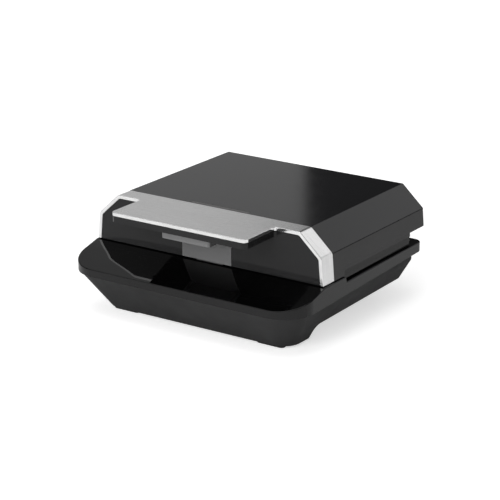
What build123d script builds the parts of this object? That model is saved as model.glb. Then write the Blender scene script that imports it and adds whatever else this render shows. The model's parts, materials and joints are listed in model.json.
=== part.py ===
from build123d import *

import os
from math import atan2, degrees, hypot

# Two-slice breakfast sandwich maker, lid closed.
# Millimetres. X runs across, Y runs from the lid's front face to the hinge, Z is the height over the
# table. The pieces are built with Y = 0 at the lid's front face, and moved to the middle on export.

# ---------------------------------------------------------------------------- lid, outer form
lid_rise = 47.6              # joint to the flat top
lid_setback = 2.1            # rim's side to the lid's side at the joint
lid_side_lean = 2.2          # how far each side leans in, up to the chamfers
lid_shoulder_rise = 26.5     # joint to the foot of the chamfers
lid_chamfer_lean = 23.0      # how far each chamfer leans in
lid_rear_run = 11.5          # hinge axis to the lid's rear face
lid_bend_radius = 5.0        # outer rounding of the trim's bends
lid_rear_radius = 3.5        # rounding round the rear face
lid_tail_rise = 8.6          # joint to the underside of the lid's overhang at the rear
lid_wall = 2.5               # wall of every lid moulding
skirt_recess = 0.9           # lid's side to the first step of the skirt round the upper plate
skirt_step = 0.8
skirt_levels = (4.5, 0.2, -4.0)  # lower edge of each step, from the joint
skirt_rear_run = 5.5         # plates to the rear of the skirt

# ---------------------------------------------------------------------------- steel trim and handle
trim_band_depth = 19.0       # front to back of the band over the lid
trim_edge = 3.5              # depth of the trim's turned-down edges
trim_sheet = 1.0             # thickness of the pressed sheet
tongue_width = 151.0         # across the handle tongue
tongue_reach = 47.0          # how far the tongue stands out in front of the lid
tongue_corner_radius = 5.0
tongue_root_radius = 2.5
shelf_depth = 5.9            # moulded shelf that backs the tongue

# ---------------------------------------------------------------------------- latch
latch_width = 55.6           # across the front plate
latch_lip_width = 54.0       # across the squeeze plate
latch_reach = 34.0           # front plate to the lip's front
latch_top_rise = 34.5        # joint to the top of the squeeze plate
latch_lip_depth = 6.6        # height of the lip round the squeeze plate
latch_wall = 2.5
latch_side_gap = 0.3         # between the latch and its opening
latch_head_gap = 2.0         # over the latch, so that it can turn
latch_proud = 0.2            # front plate in front of the panel
latch_pivot_depth = 5.5      # front face to the pivot
latch_pivot_rise = 31.5      # joint to the pivot
latch_pin_radius = 1.5
latch_ear_width = 3.0
latch_boss_radius = 3.2      # round the pivot, on the latch and on its lugs
hook_width = 30.0
hook_arm_depth = 4.5         # front face to the hook's arm
hook_arm_thickness = 2.5
hook_nose = 2.6              # how far the nose stands behind the arm
hook_catch_drop = 4.5        # joint to the nose's catching face
hook_nose_height = 0.9
hook_tip_drop = 10.0         # joint to the tip of the hook
hook_clearance = 1.5         # round the hook in its slots
spring_radius = 2.6          # to the middle of the wire
spring_wire_radius = 0.4
spring_turns = 6
spring_spacing = 44.0        # between the two springs
spring_depth = 10.5          # front face to the springs
tail_width = 7.0             # tab that bears on each spring
tail_rise = 26.0             # joint to the underside of the tabs
keeper_width = 26.0
keeper_strip = 0.8
keeper_grip = 1.8            # how far the keeper reaches over the nose
keeper_leg_height = 7.0
keeper_seat_height = 4.0

# ---------------------------------------------------------------------------- base, outer form
base_side_margin = 12.5      # plate's edge to the rim's side
base_front = 49.0            # how far the deck runs in front of the lid's face
base_rear_run = 4.0          # hinge axis to the rear edge of the rim
base_front_radius = 30.0     # corners of the rim in plan
base_rear_radius = 9.5
deck_slope = 0.255           # fall of the deck for each mm towards the front
ledge_drop = 0.5             # joint to the ledge under the lid and to the top of the deck
ledge_end = 36.5             # lid's face to the step down
step_run = 1.5
rim_front_drop = 5.8         # joint to the rim beside the plates, at the step
rim_rear_drop = 4.2          # the same at the rear edge
band_front_drop = 20.3       # joint to the lower edge of the rim's band, at the front
band_rear_drop = 13.4        # the same at the rear
base_wall = 2.5
rim_edge_radius = 0.8

bowl_top_drop = 20.7         # joint to the top of the tapered bowl
bowl_foot_drop = 57.5        # joint to the underside of the front leg
bowl_side_setback = 4.0      # rim's side to the bowl's top edge
bowl_front_setback = 0.6     # rim's front to the bowl's top edge
bowl_rear_setback = 5.5      # rim's rear edge to the bowl's top edge
bowl_side_lean = 20.3        # how far each side leans in, down to the foot
bowl_front_lean = 26.9
bowl_rear_lean = 7.0
bowl_front_radius = 28.0     # corners of the bowl's top edge
bowl_foot_radius = 18.0      # front corners of its foot
bowl_rear_radius = 14.0
collar_height = 11.0         # upright collar of the bowl inside the rim's band
collar_gap = 0.5             # between the collar and the band
leg_rear = 12.0              # lid's face to the rear wall of the front leg
leg_fillet = 7.0
floor_front_drop = 43.5      # joint to the raised underside behind the leg
floor_rear_drop = 39.9       # the same at the rear of the bowl's foot

foot_drop = 2.5              # rubber feet below the front leg
foot_recess = 1.2
front_foot_length = 30.0
front_foot_width = 8.0
front_foot_side_run = 23.7   # side of the leg to the middle of a front foot
front_foot_front_run = 7.0   # front of the leg to the middle of the front feet
rear_foot_radius = 6.5
rear_leg_radius = 9.0
rear_foot_side_run = 47.7
rear_foot_rear_run = 14.0

# ---------------------------------------------------------------------------- hinge
hinge_run = 22.0             # plates to the hinge axis
hinge_side_run = 42.0        # rim's side to the middle of each hinge
hinge_rise = 2.5             # joint to the hinge axis
hinge_pin_radius = 2.0
hinge_ear_radius = 4.6
knuckle_width = 12.0
ear_width = 5.0
hinge_side_gap = 0.4
running_gap = 0.05           # radial, pins in the parts that turn on them
fixed_gap = 0.02             # radial, pins in the parts that hold them

# ---------------------------------------------------------------------------- cooking plates
plate_front = 16.5           # lid's face to the plates
plate_rim_width = 9.0        # pockets to the plate's edge
plate_corner_radius = 12.0
plate_wall = 2.6
plate_edge_height = 7.0
plate_line_drop = 4.4        # joint to the middle of the gap between the plates
plate_gap = 0.6
plate_side_gap = 0.5         # between a plate and its opening
pocket_width = 104.0
pocket_length = 120.0
pocket_depth = 12.0
pocket_draft = 5.0           # how much each wall leans in over the depth
pocket_corner_radius = 14.0
pocket_web = 9.0             # between the two pockets
ridge_width = 13.0
ridge_crest = 3.0
ridge_sink = 1.6             # rim to the crest of the ridge
plate_boss_radius = 4.0
plate_boss_spacing_x = 76.0
plate_boss_spacing_y = 52.0
pad_width = 26.0             # cast pad for the thermostat and the fuse
pad_depth = 17.5             # rim to the face of the pad

# ---------------------------------------------------------------------------- heaters and shields
element_radius = 3.25
element_seat_gap = 0.2
element_side_run = 18.5      # loop's outer run to the outside of the pocket
element_end_run = 15.5       # loop's cross runs to the ends of the pockets
element_bend_radius = 14.0
element_tail_spacing = 36.0
element_tail = 4.0           # how far the loop's ends stand out behind the shield
element_pin_radius = 1.2
element_pin = 4.0
shield_sheet = 0.8
shield_drop = 25.5           # rim to the inside of the shield's floor
shield_side_gap = 0.4
shield_top_gap = 0.3
shield_hole_gap = 0.6
shield_ear_width = 12.0
shield_ear_side_run = 37.5   # plate's edge to the middle of an ear
shield_ear_front_run = 5.0   # ears in front of the plates
shield_ear_rear_run = 8.0    # ears behind the plates

# ---------------------------------------------------------------------------- fasteners and fittings
screw_radius = 1.6
screw_head_radius = 3.5
screw_head_height = 2.6
screw_head_rounding = 0.8
screw_hole_gap = 0.5
thread_gap = 0.03
post_radius = 4.5
head_recess = 4.5            # how deep the screw heads sit under the base
rim_screw_front_spacing = 100.0
rim_screw_front_place = -6.0
rim_screw_rear_side_run = 40.0   # rim's side to a rear screw
rim_screw_rear_run = 7.5     # rear screws behind the plates
rim_post_drop = 26.0         # joint to where bowl posts and rim bosses meet
rim_screw_length = 22.0
lid_screw_side_run = 28.8    # lid's side to a front screw
lid_screw_front_place = 10.5
lid_screw_rear_spacing = 124.0
lid_screw_rear_run = 6.0     # rear screws in front of the hinge axis
lid_screw_length = 14.0
shield_screw_length = 9.0
thermostat_radius = 8.5
thermostat_cap = 2.5
thermostat_body = 4.0
blade_width = 6.3
blade_thickness = 0.8
blade_length = 7.0
fuse_radius = 2.5
fuse_length = 20.0
fuse_lead_radius = 0.6
fuse_lead = 9.0
strap_width = 8.0
strap_sheet = 0.8
terminal_width = 32.0
terminal_depth = 9.0
terminal_height = 10.0
terminal_poles = 3
inlet_offset = 45.0          # cord inlet, beside the middle
inlet_drop = 28.0
inlet_face_run = 1.3         # bowl's rear edge to the inlet's face
inlet_bore_radius = 3.6
inlet_barrel_radius = 6.0
inlet_flange_radius = 8.5
inlet_flange = 2.0
inlet_boss_radius = 10.0
inlet_depth = 8.0
window_width = 65.0          # smoked strip over the pilot lamps
window_depth = 4.8
window_gap = 0.1
window_setback = 0.7         # strip to the trim
window_sink = 0.5            # its recess below the cover's wall
lamp_radius = 2.2
lamp_length = 9.0
lamp_spacing = 32.0
lamp_cup_wall = 1.4
lamp_gap = 0.15
vent_count = 7
vent_width = 3.0
vent_length = 30.0
vent_pitch = 12.0

# ---------------------------------------------------------------------------- clearances
joint_gap = 0.2              # between mouldings that meet
seam_gap = 0.6               # visible joints
seat_gap = 0.1               # between pieces that bear on each other
cut = 60.0                   # overshoot of cutting bodies

# ---------------------------------------------------------------------------- widths, from the pockets out
plate_width = 2 * pocket_width + pocket_web + 2 * plate_rim_width
pocket_spacing = pocket_width + pocket_web
base_width = plate_width + 2 * base_side_margin
lid_seam_width = base_width - 2 * lid_setback
lid_shoulder_width = lid_seam_width - 2 * lid_side_lean
bowl_top_width = base_width - 2 * bowl_side_setback
bowl_foot_width = bowl_top_width - 2 * bowl_side_lean
element_width = pocket_spacing + pocket_width - 2 * element_side_run
hinge_spacing = base_width - 2 * hinge_side_run
shield_ear_spacing = plate_width - 2 * shield_ear_side_run
rim_screw_rear_spacing = base_width - 2 * rim_screw_rear_side_run
lid_screw_front_spacing = lid_seam_width - 2 * lid_screw_side_run
front_foot_spacing = bowl_foot_width - 2 * front_foot_side_run
rear_foot_spacing = bowl_foot_width - 2 * rear_foot_side_run

# ---------------------------------------------------------------------------- depths, from the pockets back
plate_rear = plate_front + pocket_length + 2 * plate_rim_width
plate_middle = (plate_front + plate_rear) / 2
element_length = pocket_length - 2 * element_end_run
skirt_rear = plate_rear + skirt_rear_run
hinge_place = plate_rear + hinge_run
base_rear = hinge_place + base_rear_run
lid_depth = hinge_place + lid_rear_run
bowl_front = base_front - bowl_front_setback
bowl_foot_front = bowl_front - bowl_front_lean
bowl_rear = base_rear - bowl_rear_setback
bowl_foot_rear = bowl_rear - bowl_rear_lean
front_foot_place = front_foot_front_run - bowl_foot_front
rear_foot_place = bowl_foot_rear - rear_foot_rear_run
shield_ear_front_place = plate_front - shield_ear_front_run
shield_ear_rear_place = plate_rear + shield_ear_rear_run
rim_screw_rear_place = plate_rear + rim_screw_rear_run
lid_screw_rear_place = hinge_place - lid_screw_rear_run
inlet_face = bowl_rear - inlet_face_run
depth_middle = (lid_depth - base_front) / 2

# ---------------------------------------------------------------------------- levels
seam_height = bowl_foot_drop + foot_drop     # table to the joint between lid and base
top_height = seam_height + lid_rise
shoulder_height = seam_height + lid_shoulder_rise
tail_height = seam_height + lid_tail_rise
side_run = lid_side_lean / lid_shoulder_rise
chamfer_run = lid_chamfer_lean / (lid_rise - lid_shoulder_rise)
lower_rim = seam_height - plate_line_drop - plate_gap / 2
upper_rim = seam_height - plate_line_drop + plate_gap / 2
opening_half = plate_width / 2 + plate_side_gap
opening_front = plate_front - plate_side_gap
opening_rear = plate_rear + plate_side_gap
hinge_height = seam_height + hinge_rise
fascia_inset = trim_edge + seat_gap
fascia_low = seam_height + seam_gap
frame_floor_top = fascia_low + lid_wall
lid_screw_seat = fascia_low + screw_head_height + seam_gap   # heads sunk in the frame's front beam
shield_half = plate_width / 2 - plate_wall - shield_side_gap
shield_front = plate_front + plate_wall + shield_side_gap
shield_rear = plate_rear - plate_wall - shield_side_gap
pocket_underside = pocket_depth + plate_wall
element_drop = pocket_underside + element_seat_gap + element_radius
latch_pivot_height = seam_height + latch_pivot_rise


# ---------------------------------------------------------------------------- drawing helpers
def block(x0, x1, y0, y1, z0, z1):
    """Box between six planes."""
    middle = Pos((x0 + x1) / 2, (y0 + y1) / 2, (z0 + z1) / 2)
    return middle * Box(x1 - x0, y1 - y0, z1 - z0)


def side_prism(points, x0, x1):
    """Solid of a side-view outline of (y, z) points, between two planes across."""
    outline = make_face(Polyline(*[(x0, y, z) for y, z in points], close=True))
    return extrude(outline, amount=x1 - x0, dir=(1, 0, 0))


def front_prism(points, y0, y1):
    """Solid of a front-view outline of (x, z) points, between two depths."""
    outline = make_face(Polyline(*[(x, y0, z) for x, z in points], close=True))
    return extrude(outline, amount=y1 - y0, dir=(0, 1, 0))


def plan_face(half, y0, y1, front_radius, rear_radius, z):
    """Rounded rectangle seen from above, with its own front and rear corner radii."""
    face = Pos(0, (y0 + y1) / 2) * Rectangle(2 * half, y1 - y0)
    rows = face.vertices().group_by(Axis.Y)
    face = fillet(rows[0], front_radius)
    face = fillet(face.vertices().group_by(Axis.Y)[-1], rear_radius)
    return Pos(0, 0, z) * face


def plan_prism(half, y0, y1, front_radius, rear_radius, z0, z1):
    """Upright prism of a rounded rectangle."""
    outline = plan_face(half, y0, y1, front_radius, rear_radius, z0)
    return extrude(outline, amount=z1 - z0, dir=(0, 0, 1))


def post(x, y, z0, z1, radius):
    """Upright cylinder."""
    return Pos(x, y, (z0 + z1) / 2) * Cylinder(radius, z1 - z0)


def rod_x(x0, x1, y, z, radius):
    """Cylinder that lies across."""
    return Pos((x0 + x1) / 2, y, z) * Rot(0, 90, 0) * Cylinder(radius, x1 - x0)


def rod_y(x, y0, y1, z, radius):
    """Cylinder that lies front to back."""
    return Pos(x, (y0 + y1) / 2, z) * Rot(90, 0, 0) * Cylinder(radius, y1 - y0)


def pair(spacing):
    """The two places left and right of the middle."""
    return (-spacing / 2, spacing / 2)


def screw(x, y, seat, tip, radius=screw_radius):
    """Pan-head screw whose head bears at one height and whose tip reaches another."""
    way = 1 if tip > seat else -1
    low, high = sorted((seat, tip))
    head_low, head_high = sorted((seat, seat - way * screw_head_height))
    head = post(x, y, head_low, head_high, screw_head_radius)
    rim = head.edges().group_by(Axis.Z)[0 if way > 0 else -1]
    return fillet(rim, screw_head_rounding) + post(x, y, low, high, radius)


# ---------------------------------------------------------------------------- lid form
def lid_half(height, inset):
    """Half of the lid's width at a height, inset square to its walls."""
    side = lid_seam_width / 2 - side_run * (height - seam_height) - inset * hypot(1, side_run)
    chamfer = lid_shoulder_width / 2 - chamfer_run * (height - shoulder_height)
    chamfer -= inset * hypot(1, chamfer_run)
    return min(side, chamfer)


def lid_bend(inset):
    """Height where side and chamfer meet, at an inset."""
    return shoulder_height + inset * (hypot(1, side_run) - hypot(1, chamfer_run)) / (chamfer_run - side_run)


def lid_prism(inset, low, high, y0, y1):
    """Slice of the lid's six-sided form, inset, between two heights and two depths."""
    bend = lid_bend(inset)
    heights = [low] + [bend] * (low < bend < high) + [high]
    right = [(lid_half(height, inset), height) for height in heights]
    left = [(-x, z) for x, z in reversed(right)]
    return front_prism(right + left, y0, y1)


def round_bends(form, low, radius):
    """Round the edges that run front to back above a height."""
    bends = [edge for edge in form.edges().filter_by(Axis.Y) if edge.center().Z > low]
    return fillet(bends, radius)


# ---------------------------------------------------------------------------- trim and fascia
def tongue_prism(inset, low, high):
    """Handle tongue with its root on the band, inset all round, between two heights."""
    half = tongue_width / 2 - inset
    root_half = half + tongue_root_radius + 2 * inset + trim_sheet
    tongue = Pos(0, (trim_band_depth / 2 - tongue_reach + inset) / 2) * Rectangle(
        2 * half, trim_band_depth / 2 + tongue_reach - inset
    )
    root_rear = trim_band_depth - trim_sheet - inset
    root = Pos(0, (inset + root_rear) / 2) * Rectangle(2 * root_half, root_rear - inset)
    plan = tongue + root
    corners = plan.vertices().group_by(Axis.Y)[0]
    plan = fillet(corners, tongue_corner_radius - inset)
    at_root = [v for v in plan.vertices() if abs(v.Y - inset) < seat_gap]
    nooks = [v for v in at_root if abs(abs(v.X) - half) < seat_gap]
    plan = fillet(nooks, tongue_root_radius + inset)
    return extrude(Pos(0, 0, low) * plan, amount=high - low, dir=(0, 0, 1))


def trim_core(gap):
    """Space inside the turned-down edges of the trim, less a gap all round."""
    skin = trim_sheet + gap
    band = lid_prism(skin, fascia_low + gap, top_height - skin, skin, trim_band_depth - skin)
    low = top_height - trim_edge - trim_sheet
    band -= lid_prism(trim_edge + trim_sheet, seam_height - cut, low, -cut, cut)
    return band + tongue_prism(skin, low, top_height - skin)


def make_steel_trim():
    """Pressed steel cap: band over the lid, drawn out into the handle tongue."""
    low = seam_height + seam_gap / 2
    band = lid_prism(0, low, top_height, 0, trim_band_depth)
    band = round_bends(band, low + seam_gap, lid_bend_radius)
    hollow = lid_prism(trim_edge, seam_height - cut, top_height - trim_edge, -cut, cut)
    band -= round_bends(hollow, low, lid_bend_radius - trim_sheet)
    form = band + tongue_prism(0, top_height - trim_edge, top_height)
    core = trim_core(0)
    return form - core


def make_fascia():
    """Front panel with the shelf that backs the handle, the seat of the trim and the latch lugs."""
    rear = trim_band_depth - joint_gap
    seat = round_bends(
        lid_prism(fascia_inset, fascia_low, top_height - fascia_inset, seam_gap / 2, rear),
        fascia_low + seam_gap,
        lid_bend_radius - trim_sheet,
    )
    inner = fascia_inset + lid_wall
    seat -= lid_prism(inner, seam_height - cut, top_height - inner, seam_gap / 2 + lid_wall, cut)
    shelf_top = top_height - trim_edge - seat_gap
    shelf = tongue_prism(joint_gap, top_height - trim_edge - shelf_depth, shelf_top)
    shelf -= block(-base_width, base_width, lid_wall, cut, seam_height, top_height)
    fascia = seat + shelf + trim_core(seat_gap)
    half = latch_width / 2 + latch_side_gap
    opening_top = seam_height + latch_top_rise + latch_head_gap
    fascia -= block(-half, half, -latch_wall, lid_wall + seam_gap, seam_height - cut, opening_top)
    lug_near = half + latch_side_gap
    for side in (-1, 1):
        fascia += latch_lug(side * lug_near, side * (lug_near + latch_ear_width))
    for x in pair(lid_screw_front_spacing):
        low = lid_screw_seat + lid_wall
        fascia += post(x, lid_screw_front_place, low, shoulder_height, post_radius)
        web = lid_wall / 2
        fascia += block(x - web, x + web, lid_wall, lid_screw_front_place, low, shoulder_height)
        tip = lid_screw_seat + lid_screw_length
        fascia -= post(x, lid_screw_front_place, low - cut, tip, screw_radius + thread_gap)
    return fascia


def latch_lug(x0, x1):
    """Lug behind the front panel that holds the latch's pin."""
    x0, x1 = sorted((x0, x1))
    low = latch_pivot_height - latch_boss_radius
    high = latch_pivot_height + latch_boss_radius
    bore = latch_pin_radius + fixed_gap
    lug = block(x0, x1, lid_wall, latch_pivot_depth, low, high)
    lug += rod_x(x0, x1, latch_pivot_depth, latch_pivot_height, latch_boss_radius)
    return lug - rod_x(x0 - cut, x1 + cut, latch_pivot_depth, latch_pivot_height, bore)


# ---------------------------------------------------------------------------- latch
def make_latch():
    """Squeeze lever: front plate, squeeze plate with its lip, pivot ears, spring tabs and hook."""
    face_front = -latch_proud
    face_rear = face_front + latch_wall
    top = seam_height + latch_top_rise
    half = latch_width / 2
    lip_half = latch_lip_width / 2
    plate = block(-half, half, face_front, face_rear, fascia_low + seam_gap / 2, top)
    tray = block(-lip_half, lip_half, -latch_reach, face_rear, top - latch_lip_depth, top)
    tray = fillet(tray.edges().filter_by(Axis.Z).group_by(Axis.Y)[0], latch_wall)
    inside = lip_half - latch_wall
    tray -= block(-inside, inside, latch_wall - latch_reach, face_front, top - cut, top - latch_wall)
    latch = plate + tray
    for side in (-1, 1):
        x0, x1 = sorted((side * (half - latch_ear_width), side * half))
        ear = block(x0, x1, face_front, latch_pivot_depth, seam_height + tail_rise, latch_pivot_height)
        ear += rod_x(x0, x1, latch_pivot_depth, latch_pivot_height, latch_boss_radius)
        tab0, tab1 = sorted((side * (spring_spacing - tail_width) / 2, side * half))
        tab_rear = spring_depth + spring_radius + spring_wire_radius
        tab_low = seam_height + tail_rise
        ear += block(tab0, tab1, face_front, tab_rear, tab_low, tab_low + latch_wall)
        latch += ear
    bore = latch_pin_radius + running_gap
    latch -= rod_x(-half - cut, half + cut, latch_pivot_depth, latch_pivot_height, bore)
    return latch + hook_arm(face_rear)


def hook_arm(face_rear):
    """Arm behind the front plate with its nose, ramped below so that it rides over the keeper."""
    arm_rear = hook_arm_depth + hook_arm_thickness
    web_low = fascia_low + seam_gap
    catch = seam_height - hook_catch_drop
    outline = [
        (face_rear - latch_wall / 2, web_low + latch_wall),
        (arm_rear, web_low + latch_wall),
        (arm_rear, catch),
        (arm_rear + hook_nose, catch),
        (arm_rear + hook_nose, catch - hook_nose_height),
        (arm_rear - hook_arm_thickness / 4, seam_height - hook_tip_drop),
        (hook_arm_depth, seam_height - hook_tip_drop),
        (hook_arm_depth, web_low),
        (face_rear - latch_wall / 2, web_low),
    ]
    return side_prism(outline, -hook_width / 2, hook_width / 2)


def make_latch_pin():
    """Steel pin through the lugs and the latch's ears."""
    half = latch_width / 2 + 2 * latch_side_gap + latch_ear_width
    return rod_x(-half, half, latch_pivot_depth, latch_pivot_height, latch_pin_radius)


def make_latch_springs():
    """Two compression springs that stand on the lid frame and lift the latch's tabs."""
    low = frame_floor_top + seat_gap + spring_wire_radius
    high = seam_height + tail_rise - seat_gap - spring_wire_radius
    path = Helix((high - low) / spring_turns, high - low, spring_radius)
    wire = sweep((path ^ 0) * Circle(spring_wire_radius), path=path, is_frenet=True)
    return [Pos(x, spring_depth, low) * wire for x in pair(spring_spacing)]


def make_latch_keeper():
    """Spring-steel strip on the base that the hook's nose catches under."""
    seat = opening_front - base_wall + joint_gap
    lip_front = hook_arm_depth + hook_arm_thickness + hook_nose - keeper_grip
    high = seam_height - ledge_drop - base_wall - seat_gap
    low = high - keeper_strip
    foot_top = high - keeper_leg_height
    stand_off = 2 * keeper_strip
    strip = [
        (lip_front, low),
        (seat - stand_off - keeper_strip, low),
        (seat - stand_off - keeper_strip, foot_top),
        (seat - keeper_strip, foot_top - stand_off),
        (seat - keeper_strip, foot_top - keeper_seat_height),
        (seat, foot_top - keeper_seat_height),
        (seat, foot_top - stand_off + keeper_strip),
        (seat - stand_off, foot_top + keeper_strip),
        (seat - stand_off, high),
        (lip_front, high),
    ]
    return side_prism(strip, -keeper_width / 2, keeper_width / 2)


# ---------------------------------------------------------------------------- lid shells
def make_lid_top_cover():
    """Glossy top shell: flat top, two chamfers and the rear face down to the shoulder seam."""
    front = trim_band_depth + joint_gap
    form = lid_prism(0, shoulder_height, top_height, front, lid_depth)
    rear_edges = form.edges().group_by(Axis.Y)[-1]
    rounded = [edge for edge in rear_edges if edge.center().Z > shoulder_height + seam_gap]
    form = fillet(rounded, lid_rear_radius)
    inner_top = top_height - lid_wall
    cover = form - lid_prism(lid_wall, shoulder_height - cut, inner_top, front - cut, lid_depth - lid_wall)
    tuck = fascia_inset + lid_wall + joint_gap
    lip_out = lid_prism(lid_wall, shoulder_height, inner_top, front, front + lid_wall)
    lip_out += lid_prism(tuck, shoulder_height, top_height - tuck, front - 2 * lid_wall, front + lid_wall)
    lip_in = tuck + lid_wall
    lip_out -= lid_prism(lip_in, shoulder_height - cut, top_height - lip_in, -cut, cut)
    window_half = window_width / 2 + window_gap
    cup_radius = lamp_radius + lamp_gap + lamp_cup_wall
    lip_half = window_half + lid_wall
    lip_out -= block(-lip_half, lip_half, 0, cut, top_height - cut, inner_top)
    cover += lip_out
    lamp_place = window_place() + lamp_gap + lamp_cup_wall
    for x in pair(lamp_spacing):
        cover += post(x, lamp_place, inner_top - lamp_length, inner_top, cup_radius)
        cover -= post(x, lamp_place, inner_top - cut, inner_top, lamp_radius + lamp_gap)
    window_front = trim_band_depth + window_setback
    window_rear = window_front + window_depth + 2 * window_gap
    window_low = inner_top - window_sink
    cover -= block(-window_half, window_half, window_front, window_rear, window_low, top_height + cut)
    for x in pair(lid_screw_rear_spacing):
        cover += post(x, lid_screw_rear_place, tail_height + lid_wall, inner_top, post_radius)
        tip = tail_height + lid_screw_length + seam_gap
        cover -= post(x, lid_screw_rear_place, tail_height - cut, tip, screw_radius + thread_gap)
    return cover


def window_place():
    """Depth of the middle of the smoked strip."""
    return trim_band_depth + window_setback + window_gap + window_depth / 2


def make_indicator_window():
    """Smoked strip over the two pilot lamps, let into the top."""
    half = window_width / 2
    front = window_place() - window_depth / 2
    strip = block(-half, half, front, front + window_depth, top_height - lid_wall, top_height - seat_gap)
    return fillet(strip.edges().filter_by(Axis.Z), window_depth / 4)


def make_pilot_lamps():
    """Two neon pilot lamps in their cups under the strip."""
    high = top_height - lid_wall - seat_gap
    lamp_place = window_place() + lamp_gap + lamp_cup_wall
    lamps = []
    for x in pair(lamp_spacing):
        glass = post(x, lamp_place, high - lamp_length - lamp_radius, high, lamp_radius)
        tip = glass.edges().group_by(Axis.Z)[-1]
        lamps.append(fillet(tip, lamp_radius / 2))
    return lamps


def skirt_prism(level, low, y0, y1):
    """One step of the recessed skirt round the upper plate."""
    inset = skirt_recess + level * skirt_step
    return lid_prism(inset, low, tail_height + lid_wall, y0, y1)


def make_lid_frame():
    """Lower frame of the lid: sides, stepped skirt, floor round the plate and hinge knuckles."""
    front = trim_band_depth + joint_gap
    high = shoulder_height - seam_gap
    low = seam_height + seam_gap / 2
    form = lid_prism(0, tail_height, high, front, lid_depth)
    corner = form.edges().filter_by(Axis.X).group_by(Axis.Y)[-1].group_by(Axis.Z)[0]
    rise = high - tail_height
    upright = [edge for edge in form.edges().group_by(Axis.Y)[-1] if abs(edge.length - rise) < seam_gap]
    form = fillet([*corner, *upright], lid_rear_radius)
    form += lid_prism(0, low, high, front, ledge_end + step_run / 2)
    step_front = ledge_end + step_run
    skirt_low = seam_height + skirt_levels[-1]
    for level, edge in enumerate(skirt_levels):
        form += skirt_prism(level, seam_height + edge, step_front, skirt_rear)
        form += skirt_prism(level, max(seam_height + edge, low), front, step_front)
    beam_inset = fascia_inset + lid_wall + joint_gap
    beam_front = lid_wall + seam_gap / 2 + joint_gap
    bay_half = lid_half(skirt_low, skirt_recess + (len(skirt_levels) - 1) * skirt_step) - lid_wall
    # Hollow over the floor, and the plate's bay under it.
    form -= lid_prism(lid_wall, tail_height + lid_wall, high + cut, front - cut, lid_depth - lid_wall)
    bay_front = step_front + lid_wall
    form -= block(-bay_half, bay_half, front - cut, skirt_rear - lid_wall, frame_floor_top, high + cut)
    form -= block(-bay_half, bay_half, bay_front, skirt_rear - lid_wall, seam_height - cut, high + cut)
    form -= block(-bay_half, bay_half, front - cut, bay_front, seam_height - cut, fascia_low)
    # Floor round the plate, and the beam that closes the front.
    floor = block(-bay_half, bay_half, front, skirt_rear - lid_wall, fascia_low, frame_floor_top)
    floor += lid_prism(beam_inset, fascia_low, frame_floor_top, beam_front, front)
    form += floor
    low_cut = seam_height - cut
    form -= block(-opening_half, opening_half, opening_front, opening_rear, low_cut, seam_height + cut)
    # Lip that centres the top cover.
    lip_inset = lid_wall + joint_gap
    lip_front = front + lip_inset
    lip = lid_prism(lip_inset, high - lid_wall, high + lid_wall, lip_front, lid_depth - lip_inset)
    lip += lid_prism(lid_wall / 2, high - lid_wall, high, lip_front, lid_depth - lid_wall / 2)
    inside = lip_inset + lid_wall
    form += lip - lid_prism(inside, high - cut, high + cut, -cut, lid_depth - inside)
    half = hook_width / 2 + hook_clearance
    form -= block(-half, half, 0, hook_slot_rear(), low_cut, seam_height + tail_rise)
    hole = screw_radius + screw_hole_gap
    for x in pair(lid_screw_front_spacing):
        y = lid_screw_front_place
        form += post(x, y, fascia_low, lid_screw_seat + lid_wall, post_radius)
        form -= post(x, y, low_cut, lid_screw_seat, screw_head_radius + screw_hole_gap / 2)
        form -= post(x, y, low_cut, seam_height + cut, hole)
    for x in pair(lid_screw_rear_spacing):
        form -= post(x, lid_screw_rear_place, low_cut, tail_height + 2 * lid_wall, hole)
    for x in pair(hinge_spacing):
        form += knuckle(x - knuckle_width / 2, x + knuckle_width / 2, tail_height + lid_wall / 2)
        form -= hinge_bore(x, running_gap)
    seat = upper_rim + shield_drop
    for x, y in ear_places():
        low = frame_floor_top if y < plate_middle else tail_height + lid_wall
        form += post(x, y, low - lid_wall / 2, seat, post_radius)
        form -= post(x, y, seat - shield_screw_length, seam_height + cut, screw_radius + thread_gap)
    return form


def hook_slot_rear():
    """Rear edge of the slots that the hook passes."""
    return hook_arm_depth + hook_arm_thickness + hook_nose + hook_clearance / 2


def knuckle(x0, x1, root):
    """Hinge knuckle that runs from the axis to a wall at some height."""
    low, high = sorted((hinge_height, root))
    stem = block(x0, x1, hinge_place - hinge_ear_radius, hinge_place + hinge_ear_radius, low, high)
    return stem + rod_x(x0, x1, hinge_place, hinge_height, hinge_ear_radius)


def hinge_bore(x, gap):
    """Cutting body for the hinge pin."""
    reach = knuckle_width / 2 + hinge_side_gap + ear_width + seam_gap
    return rod_x(x - reach, x + reach, hinge_place, hinge_height, hinge_pin_radius + gap)


def make_hinge_pins():
    """Two steel hinge pins."""
    reach = knuckle_width / 2 + hinge_side_gap + ear_width
    places = pair(hinge_spacing)
    return [rod_x(x - reach, x + reach, hinge_place, hinge_height, hinge_pin_radius) for x in places]


# ---------------------------------------------------------------------------- cooking plates
def pocket_basin(x, grow, depth):
    """Tapered body of one pocket, grown all round, from the rim down."""
    lean = pocket_draft * depth / pocket_depth
    wide = pocket_width + 2 * grow
    long = pocket_length + 2 * grow
    radius = pocket_corner_radius + grow
    mouth = RectangleRounded(wide, long, radius)
    floor = RectangleRounded(wide - 2 * lean, long - 2 * lean, radius - lean / 2)
    return loft([Pos(x, plate_middle) * mouth, Pos(x, plate_middle, -depth) * floor])


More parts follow.
